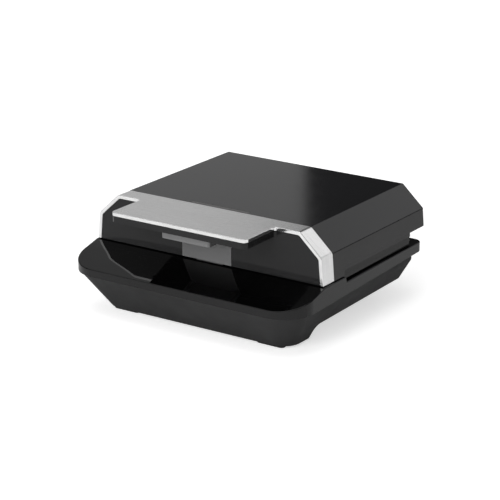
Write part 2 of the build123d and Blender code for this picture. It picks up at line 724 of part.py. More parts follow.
def pocket_ridge(x, side):
    """Diagonal ridge that seals and parts the sandwich, from corner to corner of a pocket."""
    turn = degrees(atan2(pocket_length, pocket_width)) * side
    reach = hypot(pocket_width, pocket_length) / 2
    low = -pocket_depth - plate_wall / 2
    outline = [
        (-ridge_width / 2, low),
        (ridge_width / 2, low),
        (ridge_crest / 2, -ridge_sink),
        (-ridge_crest / 2, -ridge_sink),
    ]
    bar = side_prism(outline, -reach, reach)
    crest = bar.edges().filter_by(Axis.X).group_by(Axis.Z)[-1]
    bar = fillet(crest, ridge_crest / 3)
    bar = Pos(x, plate_middle) * Rot(0, 0, turn) * bar
    return bar & pocket_basin(x, plate_wall / 2, pocket_underside)


def make_plate():
    """Cast cooking plate, rim at height 0 and pockets down."""
    half = plate_width / 2
    outer_radius = plate_corner_radius
    inner_radius = outer_radius - plate_wall
    form = plan_prism(half, plate_front, plate_rear, outer_radius, outer_radius, -plate_edge_height, 0)
    form -= plan_prism(
        half - plate_wall,
        plate_front + plate_wall,
        plate_rear - plate_wall,
        inner_radius,
        inner_radius,
        -plate_edge_height,
        -plate_wall,
    )
    form = fillet(form.edges().group_by(Axis.Z)[-1], plate_wall / 3)
    for x in pair(pocket_spacing):
        form += pocket_basin(x, plate_wall, pocket_underside)
    for x in pair(pocket_spacing):
        form -= pocket_basin(x, 0, pocket_depth)
    for side in (-1, 1):
        form += pocket_ridge(side * pocket_spacing / 2, -side)
    for x, y in boss_places():
        form += post(x, y, -shield_drop, -pocket_depth - plate_wall / 2, plate_boss_radius)
        hole_top = -pocket_underside - plate_wall
        form -= post(x, y, -shield_drop, hole_top, screw_radius + thread_gap)
    pad = pad_width / 2
    form += block(-pad, pad, plate_middle - pad, plate_middle + pad, -pad_depth, -plate_wall / 2)
    for x in pair(pocket_spacing):
        form -= pocket_basin(x, 0, pocket_depth) & block(-pad, pad, 0, plate_rear, -pocket_depth, 0)
    return form


def boss_places():
    """The four places where a plate is screwed to its shield."""
    return [(x, plate_middle + y) for x in pair(plate_boss_spacing_x) for y in pair(plate_boss_spacing_y)]


def make_element():
    """Tubular heating element: loop under both pockets, its ends out of the shield's rear wall."""
    half = element_width / 2
    tail = element_tail_spacing / 2
    near = plate_middle - element_length / 2
    far = plate_middle + element_length / 2
    end = shield_rear + element_tail
    route = [(tail, end), (tail, far), (half, far), (half, near)]
    route += [(-x, y) for x, y in reversed(route)]
    path = FilletPolyline(*[(x, y, -element_drop) for x, y in route], radius=element_bend_radius)
    start = Plane((tail, end, -element_drop), z_dir=(0, -1, 0))
    tube = sweep(start * Circle(element_radius), path=path)
    for x in pair(element_tail_spacing):
        tube += rod_y(x, end - element_pin, end + element_pin, -element_drop, element_pin_radius)
    return tube


def make_shield(eared):
    """Pressed heat shield under a plate. The upper one has ears for its screws."""
    floor_low = -shield_drop - shield_sheet
    top = -plate_wall - shield_top_gap
    radius = plate_corner_radius - plate_wall
    form = plan_prism(shield_half, shield_front, shield_rear, radius, radius, floor_low, top)
    form = fillet(form.edges().group_by(Axis.Z)[0], 2 * shield_sheet)
    if eared:
        for x, y in ear_places():
            form += block(*shield_ear(x, y), floor_low, -shield_drop)
    form -= plan_prism(
        shield_half - shield_sheet,
        shield_front + shield_sheet,
        shield_rear - shield_sheet,
        radius - shield_sheet,
        radius - shield_sheet,
        -shield_drop,
        top,
    )
    places = boss_places() + eared * ear_places()
    for x, y in places:
        form -= post(x, y, -shield_drop - cut, -shield_drop + shield_sheet, screw_radius + screw_hole_gap)
    for x in pair(element_tail_spacing):
        hole = element_radius + shield_hole_gap
        form -= rod_y(x, shield_rear - 3 * shield_sheet, shield_rear + cut, -element_drop, hole)
    return form


def ear_places():
    """The four places where the upper shield is screwed to the lid frame."""
    depths = (shield_ear_front_place, shield_ear_rear_place)
    return [(x, y) for x in pair(shield_ear_spacing) for y in depths]


def shield_ear(x, y):
    """Plan limits of one ear, from the shield's floor out past its screw."""
    reach = shield_ear_width / 2
    root = plate_corner_radius
    if y < plate_middle:
        return (x - reach, x + reach, y - reach, shield_front + root)
    return (x - reach, x + reach, shield_rear - root, y + reach)


def lower(piece):
    """Place a piece of the lower cooking assembly."""
    return Pos(0, 0, lower_rim) * piece


def upper(piece):
    """Place a piece of the upper cooking assembly, which is the lower one turned over."""
    return Pos(0, 0, upper_rim) * piece.mirror(Plane.XY)


def make_thermostat():
    """Snap-disc thermostat against the lower plate's pad."""
    high = -pad_depth - seat_gap
    body = post(0, plate_middle, high - thermostat_cap, high, thermostat_radius)
    case_radius = thermostat_radius - thermostat_cap / 2
    body += post(0, plate_middle, high - thermostat_cap - thermostat_body, high, case_radius)
    blade_high = high - thermostat_cap - thermostat_body / 2
    reach = thermostat_radius + blade_length
    blades = block(
        -reach,
        reach,
        plate_middle - blade_width / 2,
        plate_middle + blade_width / 2,
        blade_high - blade_thickness,
        blade_high,
    )
    return body + blades


def make_thermal_fuse():
    """Thermal fuse in its strap, against the upper plate's pad."""
    high = -pad_depth - seat_gap
    axis = high - fuse_radius
    fuse = rod_x(-fuse_length / 2, fuse_length / 2, plate_middle, axis, fuse_radius)
    reach = fuse_length / 2 + fuse_lead
    fuse += rod_x(-reach, reach, plate_middle, axis, fuse_lead_radius)
    outer = fuse_radius + strap_sheet
    half = strap_width / 2
    strap = rod_x(-half, half, plate_middle, axis, outer)
    strap += block(-half, half, plate_middle - outer, plate_middle + outer, axis, high)
    wing = pad_width / 2 - strap_sheet
    strap += block(-half, half, plate_middle - wing, plate_middle + wing, high - strap_sheet, high)
    strap -= block(-cut, cut, plate_middle - cut, plate_middle + cut, high, high + cut)
    return fuse + strap


# ---------------------------------------------------------------------------- base rim
def deck_level(y):
    """Height of the sloped front deck."""
    return seam_height - ledge_drop + deck_slope * y


def rim_outline(inset):
    """Side-view outline of the rim, its top lowered by an inset and its foot far below then."""
    top = seam_height - inset
    foot = seam_height - inset * cut
    return [
        (-base_front, foot - band_front_drop),
        (-base_front, deck_level(-base_front) - inset),
        (0, deck_level(0) - inset),
        (ledge_end, top - ledge_drop),
        (ledge_end + step_run, top - rim_front_drop),
        (base_rear, top - rim_rear_drop),
        (base_rear, foot - band_rear_drop),
    ]


def rim_form(inset):
    """Body of the rim: side outline crossed with the plan."""
    half = base_width / 2 - inset
    front = inset - base_front
    rear = base_rear - inset
    front_radius = base_front_radius - inset
    plan = plan_prism(half, front, rear, front_radius, base_rear_radius - inset, -cut, top_height)
    return plan & side_prism(rim_outline(inset), -base_width, base_width)


def outer_top_edges(rim):
    """Edges that run round the outside of the rim's top."""
    side = base_width / 2 - seam_gap
    front = seam_gap - base_front
    upright = rim.edges().filter_by(Axis.Z)
    low = deck_level(-base_front) - seam_gap
    top = [edge for edge in rim.edges() if edge.center().Z > low and edge not in upright]
    return [edge for edge in top if abs(edge.center().X) > side or edge.center().Y < front]


def make_base_bezel():
    """Rim of the base: glossy sloped deck, ledge, flange round the lower plate and the band outside."""
    rim = rim_form(0)
    rim = fillet(outer_top_edges(rim), rim_edge_radius)
    rim -= rim_form(base_wall)
    collar_low = seam_height - rim_front_drop - plate_edge_height
    collar = block(
        -opening_half - base_wall,
        opening_half + base_wall,
        opening_front - base_wall + joint_gap,
        opening_rear + base_wall,
        collar_low,
        seam_height - ledge_drop,
    )
    rim += collar & rim_form(base_wall / 2)
    rim -= block(-opening_half, opening_half, opening_front, opening_rear, -cut, top_height)
    half = hook_width / 2 + hook_clearance
    slot_front = seam_gap * 2
    rim -= block(-half, half, slot_front, hook_slot_rear(), seam_height - cut, top_height)
    for x in pair(hinge_spacing):
        for side in (-1, 1):
            gap = knuckle_width / 2 + hinge_side_gap
            x0, x1 = sorted((x + side * gap, x + side * (gap + ear_width)))
            rim += knuckle(x0, x1, seam_height - rim_front_drop)
        rim -= hinge_bore(x, fixed_gap)
    boss_low = seam_height - rim_post_drop
    for x, y in rim_screw_places():
        boss = post(x, y, boss_low, seam_height, post_radius)
        boss &= side_prism(rim_outline(base_wall / 2), -base_width, base_width)
        rim += boss
        rim -= post(x, y, boss_low, boss_low + rim_screw_length / 2, screw_radius + thread_gap)
    return rim


def rim_screw_places():
    """The four places where rim and bowl are screwed together."""
    front = [(x, rim_screw_front_place) for x in pair(rim_screw_front_spacing)]
    return front + [(x, rim_screw_rear_place) for x in pair(rim_screw_rear_spacing)]


# ---------------------------------------------------------------------------- base bowl
def bowl_loft(inset):
    """Tapered body of the bowl, inset all round."""
    top = plan_face(
        bowl_top_width / 2 - inset,
        inset - bowl_front,
        bowl_rear - inset,
        bowl_front_radius - inset,
        bowl_rear_radius - inset,
        seam_height - bowl_top_drop,
    )
    foot = plan_face(
        bowl_foot_width / 2 - inset,
        inset - bowl_foot_front,
        bowl_foot_rear - inset,
        bowl_foot_radius - inset,
        bowl_rear_radius - inset,
        seam_height - bowl_foot_drop + inset,
    )
    return loft([top, foot])


def collar_prism(inset, low):
    """Upright collar of the bowl that stands inside the rim's band, inset all round."""
    return plan_prism(
        bowl_top_width / 2 - inset,
        base_wall + collar_gap - base_front + inset,
        bowl_rear - inset,
        bowl_front_radius - base_wall - inset,
        bowl_rear_radius - inset,
        low,
        seam_height - bowl_top_drop + collar_height,
    )


def underside(inset):
    """Body under the raised floor behind the front leg, grown upwards and forwards by an inset."""
    front = leg_rear - inset
    rear = base_rear + cut
    low = seam_height - bowl_foot_drop - cut
    high_front = floor_level(leg_rear) + inset
    high_rear = floor_level(rear) + inset
    outline = [(front, low), (front, high_front), (rear, high_rear), (rear, low)]
    body = side_prism(outline, -base_width, base_width)
    nook = body.edges().filter_by(Axis.X).group_by(Axis.Y)[0].group_by(Axis.Z)[-1]
    return fillet(nook, leg_fillet + inset)


def make_base_shell():
    """Bowl of the base: tapered walls, deep front leg, raised floor with vents, posts and rear legs."""
    top = seam_height - bowl_top_drop
    collar = collar_prism(0, top) & side_prism(rim_outline(base_wall + collar_gap), -base_width, base_width)
    bowl = bowl_loft(0) + collar
    bowl -= collar_prism(base_wall, top - seam_gap)
    bowl -= bowl_loft(base_wall) - underside(base_wall)
    shell_floor = seam_height - bowl_foot_drop
    shield_low = lower_rim - shield_drop - shield_sheet
    posts = [(x, y, shield_low) for x, y in boss_places()]
    posts += [(x, y, seam_height - rim_post_drop) for x, y in rim_screw_places()]
    walls = bowl_loft(base_wall / 2) + collar_prism(base_wall / 2, top)
    for x, y, high in posts:
        bowl += post(x, y, shell_floor, high, post_radius) & walls
    bowl -= underside(0)
    for x, y, high in posts:
        seat = floor_level(y) + head_recess
        bowl -= post(x, y, 0, seat, screw_head_radius + screw_hole_gap)
        bowl -= post(x, y, 0, high + seam_gap, screw_radius + screw_hole_gap)
    for x in pair(rear_foot_spacing):
        leg_top = floor_level(rear_foot_place) + base_wall
        bowl += post(x, rear_foot_place, shell_floor, leg_top, rear_leg_radius)
        recess = rear_foot_radius + seat_gap
        bowl -= post(x, rear_foot_place, 0, shell_floor + foot_recess, recess)
    for foot in front_foot_forms(seat_gap, shell_floor - cut, shell_floor + foot_recess):
        bowl -= foot
    first = -vent_pitch * (vent_count - 1) / 2
    for step in range(vent_count):
        x = first + vent_pitch * step
        slot = Pos(x, plate_middle) * SlotOverall(vent_length, vent_width, rotation=90)
        bowl -= extrude(slot, amount=floor_level(plate_middle) + 2 * base_wall, dir=(0, 0, 1))
    inlet = seam_height - inlet_drop
    bowl += rod_y(inlet_offset, inlet_face - inlet_depth, inlet_face, inlet, inlet_boss_radius)
    hole = inlet_barrel_radius + seat_gap
    bowl -= rod_y(inlet_offset, inlet_face - 2 * inlet_depth, inlet_face + cut, inlet, hole)
    flange = inlet_flange_radius + joint_gap
    return bowl - rod_y(inlet_offset, inlet_face, inlet_face + cut, inlet, flange)


def floor_level(y):
    """Height of the underside of the bowl at a depth."""
    if y < leg_rear:
        return seam_height - bowl_foot_drop
    share = (y - leg_rear) / (bowl_foot_rear - leg_rear)
    return seam_height - floor_front_drop + (floor_front_drop - floor_rear_drop) * share


def front_foot_forms(grow, low, high):
    """The two long front feet, grown all round, between two heights."""
    feet = []
    for x in pair(front_foot_spacing):
        plan = SlotOverall(front_foot_length + 2 * grow, front_foot_width + 2 * grow)
        feet.append(extrude(Pos(x, front_foot_place, low) * plan, amount=high - low, dir=(0, 0, 1)))
    return feet


def make_front_feet():
    """Long rubber pads under the front leg."""
    high = seam_height - bowl_foot_drop + foot_recess - seat_gap / 2
    feet = front_foot_forms(0, seam_height - bowl_foot_drop - foot_drop, high)
    return [fillet(foot.edges().group_by(Axis.Z)[0], foot_drop / 3) for foot in feet]


def make_rear_feet():
    """Round rubber pads under the rear legs."""
    low = seam_height - bowl_foot_drop - foot_drop
    high = seam_height - bowl_foot_drop + foot_recess - seat_gap / 2
    feet = [post(x, rear_foot_place, low, high, rear_foot_radius) for x in pair(rear_foot_spacing)]
    return [fillet(foot.edges().group_by(Axis.Z)[0], foot_drop / 3) for foot in feet]


def make_terminal_block():
    """Mains terminal block on the bowl's floor behind the shield."""
    y0 = shield_rear + 2 * seam_gap
    low = floor_level(y0 + terminal_depth) + base_wall + seat_gap
    half = terminal_width / 2
    body = block(-half, half, y0, y0 + terminal_depth, low, low + terminal_height)
    pitch = terminal_width / terminal_poles
    for pole in range(terminal_poles):
        x = pitch * (pole - (terminal_poles - 1) / 2)
        body -= rod_y(x, y0 - cut, y0 + cut, low + terminal_height / 3, blade_width / 3)
        body -= post(x, y0 + terminal_depth / 2, low + terminal_height / 2, low + cut, blade_width / 3)
    return body


def make_cord_gland():
    """Bush that lines the cord inlet in the bowl's rear wall."""
    height = seam_height - inlet_drop
    outer = inlet_face + inlet_flange
    bush = rod_y(inlet_offset, inlet_face - inlet_depth, outer, height, inlet_barrel_radius)
    bush += rod_y(inlet_offset, inlet_face + joint_gap, outer, height, inlet_flange_radius)
    return bush - rod_y(inlet_offset, inlet_face - cut, inlet_face + cut, height, inlet_bore_radius)


# ---------------------------------------------------------------------------- screws
def make_plate_screws():
    """Four long screws: bowl post, lower shield, lower plate."""
    tip = lower_rim - pocket_underside - plate_wall - seam_gap
    return [screw(x, y, floor_level(y) + head_recess, tip) for x, y in boss_places()]


def make_rim_screws():
    """Four screws: bowl post to rim boss."""
    tip = seam_height - rim_post_drop + rim_screw_length / 2 - seam_gap
    return [screw(x, y, floor_level(y) + head_recess, tip) for x, y in rim_screw_places()]


def make_upper_plate_screws():
    """Four short screws: upper shield to upper plate."""
    seat = upper_rim + shield_drop + shield_sheet
    tip = upper_rim + pocket_underside + plate_wall + seam_gap
    return [screw(x, y, seat, tip) for x, y in boss_places()]


def make_shield_screws():
    """Four screws: upper shield's ears to the lid frame."""
    seat = upper_rim + shield_drop + shield_sheet
    return [screw(x, y, seat, seat - shield_screw_length + seam_gap) for x, y in ear_places()]


def make_lid_screws():
    """Four screws up through the lid frame: two into the fascia, two into the top cover."""
    front = [(x, lid_screw_front_place, lid_screw_seat) for x in pair(lid_screw_front_spacing)]
    rear = [(x, lid_screw_rear_place, tail_height) for x in pair(lid_screw_rear_spacing)]
    return [screw(x, y, seat, seat + lid_screw_length - seam_gap) for x, y, seat in front + rear]


# ---------------------------------------------------------------------------- assembly
def export(name, shapes):
    """Write one piece, or a group of like pieces, with the origin under the middle of the object."""
    solids = shapes if isinstance(shapes, list) else [shapes]
    placed = [Pos(0, -depth_middle, 0) * solid for solid in solids]
    export_step(Compound(children=placed) if len(placed) > 1 else placed[0], f"parts/{name}.step")


def main():
    """Build every piece and write it."""
    os.makedirs("parts", exist_ok=True)
    plate = make_plate()
    element = make_element()
    pieces = {
        "base_shell": make_base_shell(),
        "base_bezel": make_base_bezel(),
        "lower_plate": lower(plate),
        "lower_element": lower(element),
        "lower_heat_shield": lower(make_shield(eared=False)),
        "thermostat": lower(make_thermostat()),
        "terminal_block": make_terminal_block(),
        "cord_gland": make_cord_gland(),
        "front_feet": make_front_feet(),
        "rear_feet": make_rear_feet(),
        "plate_screws": make_plate_screws(),
        "rim_screws": make_rim_screws(),
        "latch_keeper": make_latch_keeper(),
        "hinge_pins": make_hinge_pins(),
        "lid_top_cover": make_lid_top_cover(),
        "lid_frame": make_lid_frame(),
        "fascia": make_fascia(),
        "steel_trim": make_steel_trim(),
        "upper_plate": upper(plate),
        "upper_element": upper(element),
        "upper_heat_shield": upper(make_shield(eared=True)),
        "thermal_fuse": upper(make_thermal_fuse()),
        "upper_plate_screws": make_upper_plate_screws(),
        "shield_screws": make_shield_screws(),
        "lid_screws": make_lid_screws(),
        "indicator_window": make_indicator_window(),
        "pilot_lamps": make_pilot_lamps(),
        "latch_pin": make_latch_pin(),
        "latch_springs": make_latch_springs(),
        "latch_lever": make_latch(),
    }
    for name, shapes in pieces.items():
        export(name, shapes)


main()
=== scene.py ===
"""Looks of a two-slice sandwich maker: studio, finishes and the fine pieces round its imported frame."""

import json
import logging
import math
from collections.abc import Callable
from dataclasses import dataclass
from enum import Enum

import bmesh
import bpy
from mathutils import Matrix, Vector


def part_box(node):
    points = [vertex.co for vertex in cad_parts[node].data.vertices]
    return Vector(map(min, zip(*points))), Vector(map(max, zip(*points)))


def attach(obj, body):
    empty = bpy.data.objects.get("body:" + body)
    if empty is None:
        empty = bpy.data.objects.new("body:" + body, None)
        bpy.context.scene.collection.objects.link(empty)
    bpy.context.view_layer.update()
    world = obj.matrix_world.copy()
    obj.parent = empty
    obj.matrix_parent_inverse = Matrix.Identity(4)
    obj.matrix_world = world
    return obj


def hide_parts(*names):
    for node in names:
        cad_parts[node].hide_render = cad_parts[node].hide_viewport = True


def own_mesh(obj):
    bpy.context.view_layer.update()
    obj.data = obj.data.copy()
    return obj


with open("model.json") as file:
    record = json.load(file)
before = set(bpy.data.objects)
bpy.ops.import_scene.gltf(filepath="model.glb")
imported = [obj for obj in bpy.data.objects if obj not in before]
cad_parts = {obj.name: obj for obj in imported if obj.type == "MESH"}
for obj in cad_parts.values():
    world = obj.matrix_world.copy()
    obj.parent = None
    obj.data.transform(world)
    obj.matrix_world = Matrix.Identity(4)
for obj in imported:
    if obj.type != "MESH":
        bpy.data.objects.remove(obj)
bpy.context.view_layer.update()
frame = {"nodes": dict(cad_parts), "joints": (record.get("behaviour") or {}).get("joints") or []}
LOG = logging.getLogger("sandwich_maker")

Colour = tuple[float, float, float]
Point = tuple[float, float, float]
Socket = bpy.types.NodeSocket

NOISE_MIDDLE = (0.3, 0.7)      # nearly all of a noise's values lie between these
EDGE_TURN = (0.72, 0.99)       # how far a rounded normal agrees with the flat one, at an edge and off it
EDGE_SAMPLES = 6
WELD = 2e-6                    # corners closer than this are one, in metres
FLAT = math.radians(0.2)       # faces that meet under this angle are one
SHARP = math.radians(30.0)     # edges sharper than this are softened


class Body(Enum):
    """Bodies of the frame that pieces ride on."""

    BASE = "base"
    LID = "lid"
    LATCH = "latch"


class Grain(Enum):
    """Ways that the brush lines of a metal run, each with its stretch along X, Y and Z."""

    ACROSS = (1.0, 60.0, 1.0)
    FRONT_TO_BACK = (60.0, 1.0, 60.0)
    EVEN = (1.0, 1.0, 1.0)


class Head(Enum):
    """Which way a screw's head points, as the screw's turn about X."""

    DOWN = 0.0
    UP = math.pi


# ---- node helpers
class Shading:
    """Node tree of one material, round one Principled shader."""

    def __init__(self, name: str) -> None:
        """Starts an empty tree with its shader and output.

        Args:
            name: Name of the material.
        """
        self.material = bpy.data.materials.new(name)
        self.material.use_nodes = True
        self.tree = self.material.node_tree
        self.tree.nodes.clear()
        self.shader = self.tree.nodes.new("ShaderNodeBsdfPrincipled")
        output = self.tree.nodes.new("ShaderNodeOutputMaterial")
        self.link(self.shader.outputs["BSDF"], output.inputs["Surface"])
        self.place = self.tree.nodes.new("ShaderNodeTexCoord").outputs["Object"]

    def link(self, start: Socket, end: Socket) -> None:
        """Joins two sockets."""
        self.tree.links.new(start, end)

    def set(self, **values: object) -> None:
        """Sets constants on the shader's own sockets, named with underscores for spaces."""
        for name, value in values.items():
            words = name.replace("_", " ")
            socket = next(s for s in self.shader.inputs if s.name.lower() == words.lower())
            socket.default_value = (*value, 1.0) if isinstance(value, tuple) else value

    def feed(self, name: str, value: Socket) -> None:
        """Links a socket to one of the shader's inputs."""
        self.link(value, self.shader.inputs[name])

    def stretched(self, stretch: Point) -> Socket:
        """Object coordinates, scaled along each axis.

        Args:
            stretch: Scale along X, Y and Z.

        Returns:
            The socket with the scaled coordinates.
        """
        mapping = self.tree.nodes.new("ShaderNodeMapping")
        mapping.inputs["Scale"].default_value = stretch
        self.link(self.place, mapping.inputs["Vector"])
        return mapping.outputs["Vector"]

    def noise(self, scale: float, detail: float = 2.0, where: Socket | None = None) -> Socket:
        """Noise between 0 and 1.

        Args:
            scale: Patches in each metre.
            detail: Octaves of finer noise.
            where: Coordinates, or None for plain object coordinates.

        Returns:
            The socket with the noise.
        """
        node = self.tree.nodes.new("ShaderNodeTexNoise")
        node.inputs["Scale"].default_value = scale
        node.inputs["Detail"].default_value = detail
        self.link(where or self.place, node.inputs["Vector"])
        return node.outputs[0]

    def cells(self, scale: float) -> Socket:
        """Distance to the nearest of randomly strewn points, for specks."""
        node = self.tree.nodes.new("ShaderNodeTexVoronoi")
        node.inputs["Scale"].default_value = scale
        self.link(self.place, node.inputs["Vector"])
        return node.outputs["Distance"]

    def spread(
        self, value: Socket, low: float, high: float, start: float = 0.0, end: float = 1.0
    ) -> Socket:
        """Maps a value from one range to another, held at its ends.

        Args:
            value: The socket to map.
            low: Result at the start of the range.
            high: Result at the end of the range.
            start: Start of the value's range.
            end: End of the value's range.

        Returns:
            The socket with the mapped value.
        """
        node = self.tree.nodes.new("ShaderNodeMapRange")
        node.inputs["From Min"].default_value = start
        node.inputs["From Max"].default_value = end
        node.inputs["To Min"].default_value = low
        node.inputs["To Max"].default_value = high
        self.link(value, node.inputs["Value"])
        return node.outputs["Result"]

    def maths(self, operation: str, first: Socket, second: Socket) -> Socket:
        """Joins two values by a sum, a product or another operation."""
        node = self.tree.nodes.new("ShaderNodeMath")
        node.operation = operation
        self.link(first, node.inputs[0])
        self.link(second, node.inputs[1])
        return node.outputs[0]

    def distance(self) -> Socket:
        """Distance from the object's origin."""
        node = self.tree.nodes.new("ShaderNodeVectorMath")
        node.operation = "LENGTH"
        self.link(self.place, node.inputs[0])
        return node.outputs["Value"]

    def blend(self, share: Socket, first: Colour | Socket, second: Colour | Socket) -> Socket:
        """Mixes two colours.

        Args:
            share: How much of the second colour, 0 to 1.
            first: A colour or a socket.
            second: A colour or a socket.

        Returns:
            The socket with the mixed colour.
        """
        node = self.tree.nodes.new("ShaderNodeMix")
        node.data_type = "RGBA"
        self.link(share, node.inputs["Factor"])
        for name, colour in (("A", first), ("B", second)):
            socket = next(s for s in node.inputs if s.name == name and s.type == "RGBA")
            if isinstance(colour, tuple):
                socket.default_value = (*colour, 1.0)
            else:
                self.link(colour, socket)
        return next(s for s in node.outputs if s.type == "RGBA")

    def edges(self, radius: float) -> Socket:
        """Mask that is 1 along sharp edges and 0 away from them.

        Args:
            radius: How far from an edge the mask reaches, in metres.

        Returns:
            The socket with the mask.
        """
        rounded = self.tree.nodes.new("ShaderNodeBevel")
        rounded.samples = EDGE_SAMPLES
        rounded.inputs["Radius"].default_value = radius
        plain = self.tree.nodes.new("ShaderNodeNewGeometry")
        dot = self.tree.nodes.new("ShaderNodeVectorMath")
        dot.operation = "DOT_PRODUCT"
        self.link(rounded.outputs["Normal"], dot.inputs[0])
        self.link(plain.outputs["Normal"], dot.inputs[1])
        return self.spread(dot.outputs["Value"], 1.0, 0.0, *EDGE_TURN)

    def bump(self, height: Socket, depth: float, under: Socket | None = None) -> Socket:
        """Roughens the surface by a relief.

        Args:
            height: Socket with the relief, 0 to 1.
            depth: Depth of the relief in metres.
            under: An earlier bump's normal, or None.

        Returns:
            The socket with the bumped normal.
        """
        node = self.tree.nodes.new("ShaderNodeBump")
        node.inputs["Distance"].default_value = depth
        self.link(height, node.inputs["Height"])
        if under is not None:
            self.link(under, node.inputs["Normal"])
        self.feed("Normal", node.outputs["Normal"])
        return node.outputs["Normal"]


# ---- finishes
def lightened(colour: Colour, factor: float) -> Colour:
    """Scales a colour's brightness."""
    return (colour[0] * factor, colour[1] * factor, colour[2] * factor)


@dataclass(frozen=True)
class Finish:
    """What every finish has.

    Attributes:
        name: Name of the material.
        colour: Base colour, linear.
        roughness: Middle roughness.
    """

    name: str
    colour: Colour
    roughness: float

    def shade(self, shading: Shading) -> None:
        """Builds the finish's nodes; each kind of finish has its own."""
        raise NotImplementedError

    def tinted(self, shading: Shading, share: Socket, low: float, high: float) -> Socket:
        """Mixes two shades of the finish's colour, each given as a share of its brightness."""
        return shading.blend(share, lightened(self.colour, low), lightened(self.colour, high))

    def dulled(self, shading: Shading, value: Socket, low: float, high: float, *ends: float) -> None:
        """Varies the roughness between two shares of the finish's own, over a value's range."""
        least, most = self.roughness * low, self.roughness * high
        shading.feed("Roughness", shading.spread(value, least, most, *ends))

    def material(self) -> bpy.types.Material:
        """Builds the material."""
        shading = Shading(self.name)
        self.shade(shading)
        return shading.material


@dataclass(frozen=True)
class MouldedPlastic(Finish):
    """Injection-moulded plastic: faint mottling, the tool's fine grain, and edges painted in a tone of their
    own.

    Attributes:
        grain: Grain cells in each metre.
        grain_depth: Depth of the grain in metres.
        wave_depth: Depth of the moulding's slow waviness in metres.
        painted_edge_tone: Brightness of the edges as a share of the colour's: above 1 a painted sheen, below
            1 painted darker.
        shine: Specular level, 0.5 for plain plastic.
    """

    grain: float = 2600.0
    grain_depth: float = 6e-6
    wave_depth: float = 2e-6
    painted_edge_tone: float = 1.8
    shine: float = 0.5

    def shade(self, shading: Shading) -> None:
        """Builds colour, gloss and relief."""
        mottling = shading.spread(shading.noise(scale=14.0, detail=4.0), 0.0, 1.0, *NOISE_MIDDLE)
        # Painted sheen: along edges the base colour is scaled by the edge tone, lighter above 1 and darker
        # below.
        painted_edge_mask = shading.edges(radius=7e-4)
        body = self.tinted(shading, mottling, low=0.9, high=1.12)
        shading.feed("Base Color", shading.blend(painted_edge_mask, body, lightened(self.colour, self.painted_edge_tone)))
        self.dulled(shading, shading.noise(scale=55.0, detail=5.0), 0.88, 1.14, *NOISE_MIDDLE)
        waves = shading.bump(shading.noise(scale=38.0, detail=1.0), self.wave_depth)
        shading.bump(shading.noise(self.grain, detail=2.0), self.grain_depth, waves)
        shading.set(IOR=1.5, Specular_IOR_Level=self.shine)


@dataclass(frozen=True)
class SatinPlastic(MouldedPlastic):
    """Plastic from a finely ground tool, its mirror images soft."""

    grain_depth: float = 1e-6
    wave_depth: float = 1e-6


@dataclass(frozen=True)
class PolishedPlastic(MouldedPlastic):
    """Plastic from a mirror-finished tool, nearly a mirror."""

    grain_depth: float = 5e-7
    wave_depth: float = 5e-7


@dataclass(frozen=True)
class BrushedMetal(Finish):
    """Brushed sheet metal: long fine lines, and edges painted a little lighter as a highlight.

    Attributes:
        grain: Way that the brush lines run.
        lines: Brush lines in each metre before the stretch.
        line_depth: Depth of the lines in metres.
    """

    grain: Grain = Grain.ACROSS
    lines: float = 30.0
    line_depth: float = 5e-6

    def shade(self, shading: Shading) -> None:
        """Builds colour, gloss and relief."""
        where = shading.stretched(self.grain.value)
        coarse = shading.noise(self.lines, detail=3.0, where=where)
        fine = shading.noise(self.lines * 4.0, detail=4.0, where=where)
        streaks = shading.spread(coarse, 0.0, 1.0, *NOISE_MIDDLE)
        tint = self.tinted(shading, streaks, low=0.9, high=1.06)
        # Painted highlight: the colour along edges is raised a little.
        painted_edge_highlight = shading.edges(radius=5e-4)
        shading.feed("Base Color", shading.blend(painted_edge_highlight, tint, lightened(self.colour, 1.04)))
        self.dulled(shading, fine, 0.8, 1.25, *NOISE_MIDDLE)
        shading.bump(shading.maths("ADD", coarse, fine), self.line_depth)
        shading.set(Metallic=1.0)


@dataclass(frozen=True)
class NonStick(Finish):
    """Sprayed non-stick coat on cast aluminium: orange peel and fine pale specks."""

    def shade(self, shading: Shading) -> None:
        """Builds colour, gloss and relief."""
        specks = shading.spread(shading.cells(scale=900.0), 1.0, 0.0, start=0.06, end=0.13)
        coat = self.tinted(shading, shading.noise(scale=22.0, detail=3.0), low=0.8, high=1.25)
        shading.feed("Base Color", shading.blend(specks, coat, lightened(self.colour, 3.0)))
        self.dulled(shading, shading.edges(radius=9e-4), low=1.0, high=0.8)
        peel = shading.bump(shading.noise(scale=420.0, detail=2.0), depth=3e-5)
        shading.bump(shading.noise(scale=2400.0, detail=1.0), depth=8e-6, under=peel)
        shading.set(Specular_IOR_Level=0.6)


@dataclass(frozen=True)
class MattRubber(Finish):
    """Matt rubber: dusty bloom and a fine tooth."""

    def shade(self, shading: Shading) -> None:
        """Builds colour, gloss and relief."""
        bloom = shading.spread(shading.noise(scale=60.0, detail=5.0), 0.0, 1.0, start=0.35, end=0.75)
        shading.feed("Base Color", self.tinted(shading, bloom, low=1.0, high=1.9))
        self.dulled(shading, bloom, low=0.94, high=1.05)
        shading.bump(shading.noise(scale=1500.0, detail=3.0), depth=3e-5)


